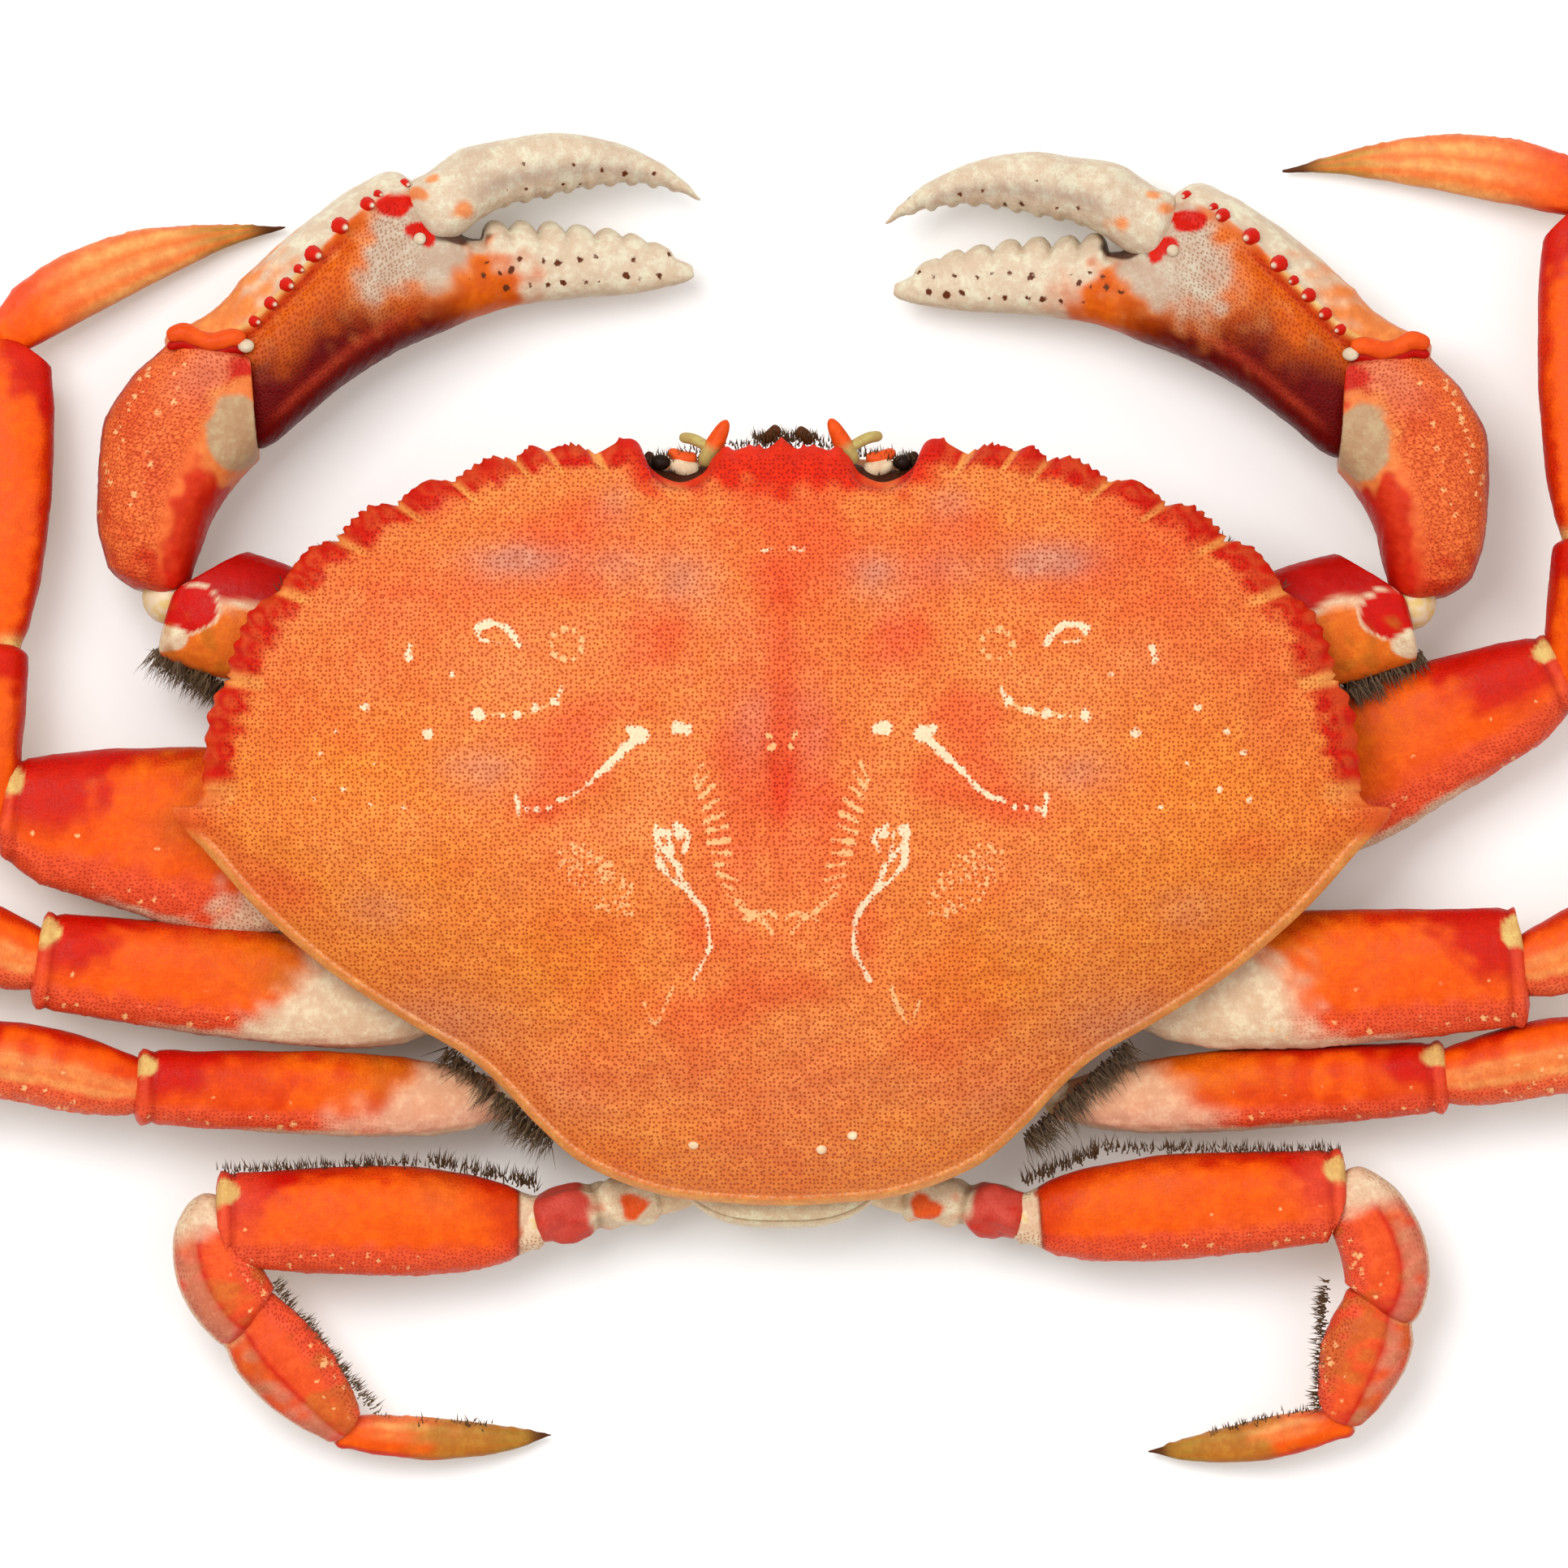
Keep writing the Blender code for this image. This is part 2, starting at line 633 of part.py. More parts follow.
def make_face(finish, collection):
    rings = []
    stations = [(-x, top) for x, top in reversed(FACE)] + FACE[1:]
    for x, top in stations:
        draw = abs(x) / FACE[-1][0]
        section = [FACE_REAR, (FACE_TOP_Y - (FACE_MIDDLE_TOP - top) * FACE_SLOPE, top), *FACE_FRONT]
        ring = []
        for y, z in section:
            lifted = z if z > FACE_FOOT_TOP else mix(z, FACE_FOOT_TOP, draw**3 * FACE_RISE)
            ring.append(Vector((x, y - draw * FACE_TURN, lifted)))
        rings.append(ring)
    loft("face", rings, finish, collection)


def make_eyes(finish, collection):
    for name, side in (("left", -1), ("right", 1)):
        rings = []
        for turn in EYE_TURNS:
            angle = math.radians(turn)
            ring = []
            for k in range(EYE_SIDES):
                around = 2.0 * math.pi * k / EYE_SIDES
                x = EYE_MIDDLE[0] + EYE_HALF[0] * math.sin(angle)
                y = EYE_MIDDLE[1] + EYE_HALF[1] * math.cos(angle) * math.cos(around)
                z = EYE_MIDDLE[2] + EYE_HALF[2] * math.cos(angle) * math.sin(around)
                ring.append(Vector((side * x, y, z)))
            rings.append(ring)
        loft(f"eye_{name}", rings, finish, collection)


def on_side(place, side):
    return Vector((side * place[0], place[1], place[2]))


def make_antennae(finish, collection):
    for name, side in (("left", -1), ("right", 1)):
        start, end = on_side(ANTENNA_ROOT, side), on_side(ANTENNA_TIP, side)
        rings, _ = shell_piece(start, end, ANTENNA, side, ANTENNA_WIDTH, ANTENNA_HALF, power=2.0)
        loft(f"antenna_{name}", rings, finish, collection)


def make_mouth(finish, collection):
    """The pair of flat jaw feet that close over the mouth."""
    for name, side in (("left", -1), ("right", 1)):
        start, end = on_side(JAW_REAR, side), on_side(JAW_FRONT, side)
        rings, _ = shell_piece(start, end, MOUTH, side, JAW_WIDTH, JAW_HALF, sides=12, power=4.0)
        loft(f"jaw_foot_{name}", rings, finish, collection)


def make_leg(name, facts, finishes, collection):
    joints = [Vector(joint) for joint in facts["joints"]]
    side = 1 if joints[0].x > 0 else -1
    rear = name.startswith("leg_4")
    profiles = [
        ("base", BASE),
        ("merus", MERUS),
        ("carpus", REAR_CARPUS if rear else CARPUS),
        ("propodus", REAR_PROPODUS if rear else PROPODUS),
        ("dactyl", REAR_DACTYL if rear else DACTYL),
    ]
    widths = (facts["widths"][0] * BASE_WIDTH, *facts["widths"])
    halves = (facts["halves"][0] * BASE_HALF, *facts["halves"])
    for i, (part, profile) in enumerate(profiles):
        start, end = joints[i], joints[i + 1]
        rings, along = shell_piece(start, end, profile, side, widths[i], halves[i])
        if i > 0:
            mitre(rings, along, start, bend_normal(joints[i - 1], start, end), True)
        if i < len(profiles) - 1:
            mitre(rings, along, end, bend_normal(start, end, joints[i + 2]), False)
        loft(f"{name}_{part}", rings, finishes[part], collection)


def make_claw(name, points, finishes, collection):
    root, shoulder, elbow, wrist, tip, hinge, finger_tip = (Vector(point) for point in points)
    side = 1 if root.x > 0 else -1
    chain = [root, shoulder, elbow, wrist, tip]
    parts = [
        ("base", BASE, *CLAW_BASE),
        ("merus", CLAW_MERUS, 1.0, 1.0),
        ("carpus", CLAW_CARPUS, 1.0, 1.0),
        ("palm", PALM, 1.0, 1.0),
    ]
    for i, (part, profile, width, half) in enumerate(parts):
        start, end = chain[i], chain[i + 1]
        sides = 10 if i < 2 else 14
        rings, along = shell_piece(start, end, profile, side, width, half, sides=sides)
        if i > 0:
            mitre(rings, along, start, bend_normal(chain[i - 1], start, end), True)
        if i < len(parts) - 1:
            mitre(rings, along, end, bend_normal(start, end, chain[i + 2]), False)
        loft(f"{name}_{part}", rings, finishes[part], collection)
    rings, along = shell_piece(hinge, finger_tip, FINGER, side, sides=12)
    mitre(rings, along, hinge, on_side((*HINGE_FACING, 0.0), side), True)
    loft(f"{name}_finger", rings, finishes["finger"], collection)


def clear_scene():
    for thing in list(bpy.data.objects):
        bpy.data.objects.remove(thing)


def main():
    clear_scene()
    crab = bpy.data.collections.new("crab")
    bpy.context.scene.collection.children.link(crab)
    orange = material("orange_shell", ORANGE)
    red = material("red_shell", RED)
    cream = material("cream_shell", CREAM)
    dark = material("dark_eye", DARK, roughness=0.2)
    finishes = dict.fromkeys(("merus", "carpus", "propodus", "palm"), red)
    finishes.update(base=cream, dactyl=orange, finger=cream)
    make_carapace(orange, crab)
    thorax = make_thorax(cream, crab)
    make_apron(thorax, cream, crab)
    make_face(cream, crab)
    make_eyes(dark, crab)
    make_antennae(orange, crab)
    make_mouth(cream, crab)
    for name, points in CLAWS.items():
        make_claw(name, points, finishes, crab)
    for name, facts in LEGS.items():
        make_leg(name, facts, finishes, crab)


main()
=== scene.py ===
"""The looks of the boiled crab: detailed shells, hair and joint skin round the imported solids.

Sizes are in millimetres and become metres where a mesh is made. X runs to the crab's right, Y to its
front and Z up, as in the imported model.
"""

import math

import bpy
import numpy as np
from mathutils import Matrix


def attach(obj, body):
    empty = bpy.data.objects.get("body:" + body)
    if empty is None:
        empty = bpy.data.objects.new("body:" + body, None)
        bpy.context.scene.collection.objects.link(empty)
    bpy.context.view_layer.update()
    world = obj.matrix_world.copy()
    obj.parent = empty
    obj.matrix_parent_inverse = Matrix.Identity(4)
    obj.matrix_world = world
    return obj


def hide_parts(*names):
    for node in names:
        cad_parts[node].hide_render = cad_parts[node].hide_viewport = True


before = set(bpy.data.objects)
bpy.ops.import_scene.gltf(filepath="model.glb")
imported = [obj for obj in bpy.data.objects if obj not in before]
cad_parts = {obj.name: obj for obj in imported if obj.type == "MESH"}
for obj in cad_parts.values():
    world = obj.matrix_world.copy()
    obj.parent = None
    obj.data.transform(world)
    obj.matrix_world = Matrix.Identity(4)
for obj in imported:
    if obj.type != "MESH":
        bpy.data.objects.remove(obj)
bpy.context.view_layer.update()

MM = 0.001
ROOT = "root"
UP = np.array([0.0, 0.0, 1.0])
SIDES = ((-1, "left"), (1, "right"))
TURN = 2.0 * math.pi


def srgb(red, green, blue):
    """A display colour of 0 to 255 as the linear light that shaders use."""
    parts = np.array([red, green, blue]) / 255.0
    return np.where(parts <= 0.04045, parts / 12.92, ((parts + 0.055) / 1.055) ** 2.4)


# How bright the shell's own colour is against the colour that it shows on this stage
OWN_SHARE = np.array([0.88, 0.90, 0.84])


def shell(red, green, blue):
    """The shell's own colour, from the colour that it shows on a lit stage."""
    return srgb(red, green, blue) * OWN_SHARE


# Colours that the boiled shell shows
SHELL_ORANGE = shell(240, 133, 66)
SHELL_REAR = shell(244, 140, 74)
SHELL_GOLD = shell(244, 138, 46)
SHELL_LIGHT = shell(246, 150, 92)
SHELL_RED = shell(224, 30, 2)
SHELL_BLUSH = shell(238, 88, 48)
# Lilac shell tint, which the carapace also uses as painted sheen and painted shade
SHELL_LILAC_AND_SHEEN = shell(208, 140, 122)
TOOTH_RED = shell(208, 22, 2)
# Painted shade: the dark in the eye sockets and in the gap at each claw's hinge
SOCKET_SHADE = shell(72, 34, 20)
REAR_GOLD = shell(240, 126, 34)
RIM_ORANGE = shell(234, 156, 84)
NOTCH_PALE = shell(246, 160, 84)
MARK_PALE = shell(248, 214, 180)
MARK_FAINT = shell(250, 180, 122)
LEG_ORANGE = shell(246, 90, 4)
LEG_CORAL = shell(240, 92, 34)
LEG_PINK = shell(236, 84, 54)
LEG_RED = shell(204, 12, 2)
LEG_GOLD = shell(232, 116, 10)
LEG_OLIVE = shell(180, 106, 24)
LEG_CREAM = shell(234, 208, 178)
LEG_YELLOW = shell(228, 192, 118)
TAN = shell(238, 164, 96)
BROWN = shell(88, 46, 20)
OLIVE = shell(168, 122, 44)
STALK_GREEN = shell(190, 168, 104)
EYE_BLACK = shell(38, 22, 16)
CLAW_CREAM = shell(224, 206, 184)
CLAW_LILAC = shell(204, 180, 162)
CLAW_PATCH = shell(190, 154, 120)
CLAW_GREY = shell(172, 150, 136)
CLAW_ORANGE = shell(218, 94, 12)
CLAW_MAROON = shell(104, 2, 1)
CLAW_CORAL = shell(240, 112, 56)
# Dark red of the claws' shell, also used as painted shadow beside the palm's crest and behind its lip
CLAW_DARK_RED_AND_SHADOW = shell(186, 10, 2)
CREST_ORANGE = shell(238, 138, 72)
SPINE_RED = shell(212, 24, 4)
SPINE_ORANGE = shell(234, 84, 22)
HAIR_BROWN = shell(88, 62, 34)
CRACK_RED = shell(170, 26, 4)
SPOT_BROWN = shell(96, 44, 18)
BELLY_CREAM = shell(228, 206, 174)
SHOULDER_CREAM = shell(232, 196, 160)
SEAM_BROWN = shell(150, 112, 74)


def mix(a, b, share):
    return a + (b - a) * share


def ramp(low, high, value):
    """0 up to low, 1 from high on and smooth between; from 1 down to 0 where low is the greater."""
    value = np.clip((value - low) / (high - low), 0.0, 1.0)
    return value * value * (3.0 - 2.0 * value)


def bell(away, width):
    """1 where away is 0, and near 0 past twice the width."""
    return np.exp(-((away / width) ** 2))


def unit(vectors):
    return vectors / np.linalg.norm(vectors, axis=-1, keepdims=True)


class Coat:
    """The colour of each point of a surface, laid on in layers."""

    def __init__(self, hue, points):
        self.colour = np.broadcast_to(hue, points.shape)

    def over(self, hue, share):
        """Lays a hue over the coat, by a share for each point."""
        self.colour = self.colour + (hue - self.colour) * np.asarray(share)[..., None]


def ripple(points, size, seed):
    """Smooth noise of about -1 to 1 at each point, with lumps of the given size in millimetres."""
    rng = np.random.default_rng(seed)
    total = np.zeros(points.shape[:-1])
    for _ in range(9):
        wave = unit(rng.normal(size=3)) * TURN / (size * rng.uniform(0.75, 1.6))
        total += np.sin(points @ wave + rng.uniform(0.0, TURN))
    return total / 4.2


def catmull(rows, places):
    """Smooth curves through evenly numbered rows of numbers, read at fractional places."""
    rows = np.asarray(rows, float)
    last = len(rows) - 1
    i = np.clip(places.astype(int), 0, last - 1)
    share = (places - i)[:, None]
    before, start, end, after = (rows[np.clip(i + k, 0, last)] for k in (-1, 0, 1, 2))
    slope_in = (end - before) / 2.0
    slope_out = (after - start) / 2.0
    square, cube = share**2, share**3
    return (
        (2 * cube - 3 * square + 1) * start
        + (cube - 2 * square + share) * slope_in
        + (3 * square - 2 * cube) * end
        + (cube - square) * slope_out
    )


def read_profile(profile, places):
    """The rows of a profile at places from 0 to 1 along a piece."""
    table = np.asarray(profile, float)
    numbers = np.interp(places, table[:, 0], np.arange(len(table)))
    return catmull(table[:, 1:], numbers)


# Materials

# What each point of a shell carries for its material, and the usual value: the strength of pits and of
# net-like cracks, and the distances in millimetres to pale marks, faint marks and dark spots. FAR is a
# distance past which a mark doesn't show.
FAR = 9.0
PAINT_VALUES = {"pits": 0.0, "net": 0.0, "pale": FAR, "faint": FAR, "spots": FAR}


class Graph:
    """The nodes of one material, which end in its shader."""

    def __init__(self, name):
        self.made = bpy.data.materials.new(name)
        self.made.use_nodes = True
        self.tree = self.made.node_tree
        self.shader = self.tree.nodes["Principled BSDF"]

    def feed(self, node, inputs):
        """Sets a node's inputs: an output of another node is linked, a number or a colour is set."""
        for key, value in inputs.items():
            socket = node.inputs[key]
            if isinstance(value, bpy.types.NodeSocket):
                self.tree.links.new(value, socket)
            elif socket.type == "RGBA":
                socket.default_value = (*value, 1.0)
            else:
                socket.default_value = value

    def add(self, kind, out, inputs=None, **settings):
        """The named output of a new node."""
        node = self.tree.nodes.new("ShaderNode" + kind)
        for key, value in settings.items():
            setattr(node, key, value)
        self.feed(node, inputs or {})
        return node.outputs[out]

    def read(self, name, out="Fac"):
        """What each point of the mesh carries under a name."""
        return self.add("Attribute", out, attribute_name=name)

    def ramp(self, source, low, high, start=0.0, end=1.0):
        """Runs smoothly from start to end while the source runs from low to high."""
        inputs = {"Value": source, "From Min": low, "From Max": high, "To Min": start, "To Max": end}
        return self.add("MapRange", "Result", inputs, interpolation_type="SMOOTHSTEP")

    def math(self, operation, a, b):
        return self.add("Math", 0, {0: a, 1: b}, operation=operation)

    def mix(self, share, a, b, way="MIX"):
        inputs = {"Factor": share, "A": a, "B": b}
        return self.add("Mix", "Result", inputs, data_type="RGBA", blend_type=way)

    def coat(self, colour, height, depth, roughness, specular):
        """Gives the shader its colour, its relief of a depth in millimetres and its gloss."""
        relief = self.add("Bump", "Normal", {"Height": height, "Strength": 0.5, "Distance": depth * MM})
        gloss = {"Roughness": roughness, "Specular IOR Level": specular}
        self.feed(self.shader, {"Base Color": colour, "Normal": relief, **gloss})
        return self.made


def plain_material(name, colour, roughness=0.5, specular=0.4):
    graph = Graph(name)
    gloss = {"Roughness": roughness, "Specular IOR Level": specular}
    graph.feed(graph.shader, {"Base Color": colour, **gloss})
    return graph.made


def mottled_material(name, colour, other, size):
    """Soft blotches of two colours, with a slightly rough surface."""
    graph = Graph(name)
    blotches = {"Vector": graph.add("TexCoord", "Object"), "Scale": 1.0 / (size * MM), "Detail": 5.0}
    grain = graph.add("TexNoise", "Fac", blotches)
    return graph.coat(graph.mix(graph.ramp(grain, 0.40, 0.62), colour, other), grain, 0.3, 0.5, 0.5)


# The shell's mottling: the size of its grain in millimetres, its strength, and its darkest and lightest
# colours as shares of the shell's own. Then the colour of pits as such a share, the roughness, and the
# size of the net that fine cracks make.
GRAIN, MOTTLE = 2.4, 0.42
DARKER, LIGHTER = (0.72, 0.50, 0.40), (1.05, 1.24, 1.22)
PITTED = (0.54, 0.26, 0.15)
SHELL_ROUGHNESS = 0.42
CRACK_NET = 1.15
# Marks on the shell: where each is at full strength and where it ends, past its edge in millimetres
MARKS = (
    ("faint", -0.12, 0.30, MARK_FAINT),
    ("pale", -0.20, 0.18, MARK_PALE),
    ("spots", -0.15, 0.15, SPOT_BROWN),
)


def shell_material(name, pit_spacing, cracked=False):
    """Boiled shell: painted colour, mottling, dark pits, pale marks, dark spots, fine cracks and relief."""
    graph = Graph(name)
    where = graph.add("TexCoord", "Object")
    tint = graph.read("tint", "Color")
    noise = {"Vector": where, "Scale": 1.0 / (GRAIN * MM), "Detail": 3.0, "Roughness": 0.74}
    grain = graph.add("TexNoise", "Fac", noise)
    spread = graph.read("spread", "Vector")
    spacing = {"Vector": spread, "Scale": 1.0 / (pit_spacing * MM), "Randomness": 0.65}
    cells = graph.add("TexVoronoi", "Distance", spacing, feature="F1", voronoi_dimensions="2D")

    shade = graph.math("MULTIPLY", graph.ramp(grain, 0.34, 0.66, 1.0, 0.0), MOTTLE)
    colour = graph.mix(shade, tint, graph.mix(1.0, tint, DARKER, "MULTIPLY"))
    light = graph.math("MULTIPLY", graph.ramp(grain, 0.50, 0.64), MOTTLE)
    colour = graph.mix(light, colour, graph.mix(1.0, tint, LIGHTER, "MULTIPLY"))
    pit = graph.math("MULTIPLY", graph.ramp(cells, 0.14, 0.36, 1.0, 0.0), graph.read("pits"))
    colour = graph.mix(pit, colour, graph.mix(1.0, tint, PITTED, "MULTIPLY"))
    height = graph.math("SUBTRACT", grain, graph.math("MULTIPLY", pit, 0.5))
    if cracked:
        net = {"Vector": where, "Scale": 1.0 / (CRACK_NET * MM)}
        cracks = graph.add("TexVoronoi", "Distance", net, feature="DISTANCE_TO_EDGE")
        crack = graph.math("MULTIPLY", graph.ramp(cracks, 0.03, 0.11, 1.0, 0.0), graph.read("net"))
        colour = graph.mix(crack, colour, CRACK_RED)
        height = graph.math("SUBTRACT", height, crack)

    wobble = graph.ramp(grain, 0.32, 0.68, -0.30, 0.30)
    notched = graph.math("ADD", wobble, graph.math("MULTIPLY", pit, 0.30))
    for key, inner, outer, hue in MARKS:
        ragged = graph.math("ADD", graph.read(key), notched)
        colour = graph.mix(graph.ramp(ragged, inner, outer, 1.0, 0.0), colour, hue)
    roughness = graph.ramp(grain, 0.3, 0.7, SHELL_ROUGHNESS - 0.08, SHELL_ROUGHNESS + 0.10)
    return graph.coat(colour, height, 0.35, roughness, 0.10)


# Meshes

def mesh_from(name, coords, loops, sizes):
    """A mesh from its points, its faces' corners and how many corners each face has."""
    mesh = bpy.data.meshes.new(name)
    mesh.vertices.add(len(coords))
    mesh.vertices.foreach_set("co", (coords * MM).ravel())
    mesh.loops.add(len(loops))
    mesh.loops.foreach_set("vertex_index", loops)
    mesh.polygons.add(len(sizes))
    mesh.polygons.foreach_set("loop_start", np.concatenate([[0], np.cumsum(sizes)[:-1]]))
    mesh.update(calc_edges=True)
    mesh.validate()
    return mesh


def linked(thing):
    """The same object, in the scene."""
    bpy.context.scene.collection.objects.link(thing)
    return thing


def grid_mesh(name, points, paint, finish, first_pole=None, last_pole=None):
    """A smooth mesh through rings of points, with poles where it closes. paint gives its colour, what
    PAINT_VALUES lists, and the flat places that pits are spread over."""
    rows, cols, _ = points.shape
    coords = points.reshape(-1, 3)
    colours = np.broadcast_to(paint["tint"], (rows, cols, 3)).reshape(-1, 3)
    values = {
        key: np.broadcast_to(paint.get(key, usual), (rows, cols)).reshape(-1)
        for key, usual in PAINT_VALUES.items()
    }
    spread = np.broadcast_to(paint.get("spread", points[..., :2]), (rows, cols, 2)).reshape(-1, 2)
    i, j = np.meshgrid(np.arange(rows - 1), np.arange(cols), indexing="ij")
    k = (j + 1) % cols
    near, far = i * cols, (i + 1) * cols
    quads = np.stack([near + j, near + k, far + k, far + j], -1).reshape(-1, 4)
    ring = np.arange(cols)
    following = np.roll(ring, -1)
    fans = []
    for pole, start, flip in ((first_pole, 0, True), (last_pole, (rows - 1) * cols, False)):
        if pole is None:
            continue
        tip = np.full(cols, len(coords))
        coords = np.vstack([coords, pole])
        end_ring = slice(start, start + cols)
        colours = np.vstack([colours, colours[end_ring].mean(0)])
        values = {key: np.append(array, array[end_ring].mean()) for key, array in values.items()}
        spread = np.vstack([spread, spread[end_ring].mean(0)])
        a, b = (start + following, start + ring) if flip else (start + ring, start + following)
        fans.append(np.stack([a, b, tip], -1))
    triangles = np.vstack(fans) if fans else np.zeros((0, 3), int)
    loops = np.concatenate([quads.ravel(), triangles.ravel()])
    sizes = np.concatenate([np.full(len(quads), 4), np.full(len(triangles), 3)])
    mesh = mesh_from(name, coords, loops, sizes)
    layer = mesh.attributes.new("tint", "FLOAT_COLOR", "POINT")
    layer.data.foreach_set("color", np.hstack([colours, np.ones((len(colours), 1))]).ravel())
    for key, array in values.items():
        mesh.attributes.new(key, "FLOAT", "POINT").data.foreach_set("value", array.astype(float))
    spread = np.hstack([spread * MM, np.zeros((len(spread), 1))])
    mesh.attributes.new("spread", "FLOAT_VECTOR", "POINT").data.foreach_set("vector", spread.ravel())
    mesh.shade_smooth()
    mesh.materials.append(finish)
    return linked(bpy.data.objects.new(name, mesh))


def closed_mesh(name, points, paint, finish):
    """The same, closed over its first and last rings."""
    return grid_mesh(name, points, paint, finish, points[0].mean(0), points[-1].mean(0))


def join(name, pieces):
    """Joins pieces into one of the given name."""
    with bpy.context.temp_override(
        active_object=pieces[0], object=pieces[0], selected_objects=pieces, selected_editable_objects=pieces
    ):
        bpy.ops.object.join()
    pieces[0].name = name
    return pieces[0]


def place(piece, slot, *nodes):
    """Sets a piece on the crab, in place of the nodes that it stands for."""
    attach(piece, ROOT)
    if nodes:
        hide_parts(*nodes)


# Carapace

CROWN_Z = 49.0
CARAPACE_CENTRE = np.array([0.0, 2.0])
TOOTH_PEAK = 0.3
TOOTH_REACH = 0.14
CARAPACE_FLOOR = (46.0, 42.0, 50.0)
CARAPACE_FLOOR_Z = 20.0

# The right half of the margin from the middle of the front to the middle of the rear: the toothed edge,
# the smooth edge that the dome follows, the height, and how far the next tooth stands out
MARGIN = [
    (0.0, 54.8, 0.0, 53.6, 33.0, 0.0),
    (2.4, 53.0, 3.0, 53.6, 33.0, 0.5),
    (6.6, 52.8, 7.0, 53.6, 33.0, 0.4),
    (9.6, 52.0, 11.0, 53.4, 32.8, 0.0),
    (11.2, 49.6, 13.5, 53.3, 32.6, 0.0),
    (14.7, 48.3, 16.5, 53.2, 32.4, 0.0),
    (18.6, 50.2, 19.0, 53.0, 32.2, 0.0),
    (21.2, 54.4, 22.0, 53.0, 32.0, 0.3),
    (27.0, 52.2, 27.0, 52.8, 31.8, 1.9),
    (33.2, 52.2, 33.2, 52.4, 31.5, 1.8),
    (38.0, 51.0, 38.0, 51.6, 31.2, 2.0),
    (46.7, 48.0, 46.7, 48.8, 30.6, 2.0),
    (54.8, 44.8, 54.8, 45.4, 30.0, 2.1),
    (63.3, 39.8, 63.3, 40.4, 29.2, 1.9),
    (71.6, 32.4, 71.6, 32.8, 28.4, 2.0),
    (79.0, 20.1, 79.0, 20.4, 27.4, 1.5),
    (82.8, 3.8, 82.6, 4.2, 26.3, 0.0),
    (87.5, 1.2, 83.2, 0.6, 26.0, 0.0),
    (82.4, -4.9, 82.0, -4.8, 25.8, 0.0),
    (74.9, -13.2, 74.9, -13.2, 25.2, 0.0),
    (64.9, -21.8, 64.9, -21.8, 24.6, 0.0),
    (54.2, -28.8, 54.2, -28.8, 24.0, 0.0),
    (45.6, -33.8, 45.6, -33.8, 23.4, 0.0),
    (40.2, -38.4, 40.2, -38.4, 22.9, 0.0),
    (35.0, -44.0, 35.0, -44.0, 22.5, 0.0),
    (28.0, -49.8, 28.0, -49.8, 22.2, 0.0),
    (17.1, -54.0, 17.1, -54.0, 22.0, 0.0),
    (5.6, -55.3, 5.6, -55.3, 22.0, 0.0),
    (0.0, -55.5, 0.0, -55.5, 22.0, 0.0),
]
FIRST_TOOTH, LAST_TOOTH = 7, 16
EYE_PLACE = (14.7, 51.4)

# Swellings and hollows of the carapace: middle, half widths, height. Those off the middle are mirrored.
REGIONS = [
    ((0.0, 24.0), (15.0, 15.0), 1.4),
    ((0.0, -20.0), (12.0, 14.0), 1.2),
    ((44.0, -4.0), (26.0, 18.0), 1.6),
    ((22.0, 34.0), (9.0, 8.0), 0.9),
    ((52.0, 26.0), (14.0, 10.0), 0.9),
    ((0.0, 5.0), (3.5, 8.0), -1.0),
    ((13.0, 24.0), (3.5, 10.0), -1.2),
    ((29.0, 0.0), (8.0, 3.5), -1.2),
    ((13.0, -18.0), (3.0, 8.0), -1.2),
    ((34.0, 38.0), (5.0, 4.0), -0.7),
    ((17.0, -40.0), (7.0, 3.5), -0.9),
]

# Pale dots on the right half: place and radius
PALE_DOTS = [
    (14.6, 13.1, 1.15), (13.8, 13.0, 0.9), (20.2, 12.2, 1.35), (21.5, 12.8, 0.8), (32.2, 16.8, 0.72),
    (35.2, 15.7, 0.65), (37.7, 15.1, 0.7), (43.1, 14.9, 0.9), (59.4, 16.0, 0.6), (50.4, 12.2, 0.75),
    (39.6, 14.7, 0.3), (41.2, 14.8, 0.25), (43.4, 26.6, 0.5), (33.0, 1.9, 0.4), (34.8, 1.6, 0.35),
    (36.3, 1.6, 0.35), (58.0, 8.0, 0.4), (62.4, 4.4, 0.45), (66.0, 9.4, 0.4), (54.0, 1.8, 0.4),
    (63.6, 12.6, 0.35), (47.0, 20.6, 0.35), (58.6, 2.0, 0.3), (66.8, 3.0, 0.35), (17.0, -1.6, 0.75),
    (14.4, -2.0, 0.8),
]
# Tapering pale strokes on the right half: points along each, and the half widths at its start and end
PALE_STROKES = [
    ([(20.3, 12.1), (24.0, 8.5), (27.6, 5.0)], 0.75, 0.32),
    ([(27.6, 5.0), (29.6, 3.4), (31.8, 2.6)], 0.34, 0.26),
    ([(37.7, 3.4), (37.3, 0.4)], 0.3, 0.2),
    ([(32.2, 16.8), (31.3, 18.8)], 0.3, 0.2),
    ([(43.5, 27.2), (41.2, 28.0), (38.8, 26.8), (37.6, 25.0)], 0.55, 0.38),
    ([(42.6, 25.7), (40.2, 25.2)], 0.35, 0.25),
    ([(53.0, 24.9), (53.2, 22.8)], 0.55, 0.4),
    ([(3.0, 38.4), (1.2, 38.6)], 0.3, 0.22),
    ([(17.8, -0.8), (17.7, -2.8), (16.2, -4.8), (14.8, -6.6)], 0.55, 0.36),
    ([(14.9, -0.8), (13.3, -2.2), (13.8, -4.6)], 0.5, 0.3),
    ([(16.0, -1.8), (15.8, -4.0), (15.4, -5.8)], 0.4, 0.2),
    ([(17.8, -3.6), (17.2, -6.4), (15.2, -8.8), (13.0, -10.4)], 0.36, 0.3),
    ([(14.8, -6.4), (14.2, -8.4), (13.0, -10.4)], 0.42, 0.36),
    ([(13.0, -10.4), (10.9, -13.4), (10.3, -18.0), (12.6, -22.8)], 0.42, 0.22),
]
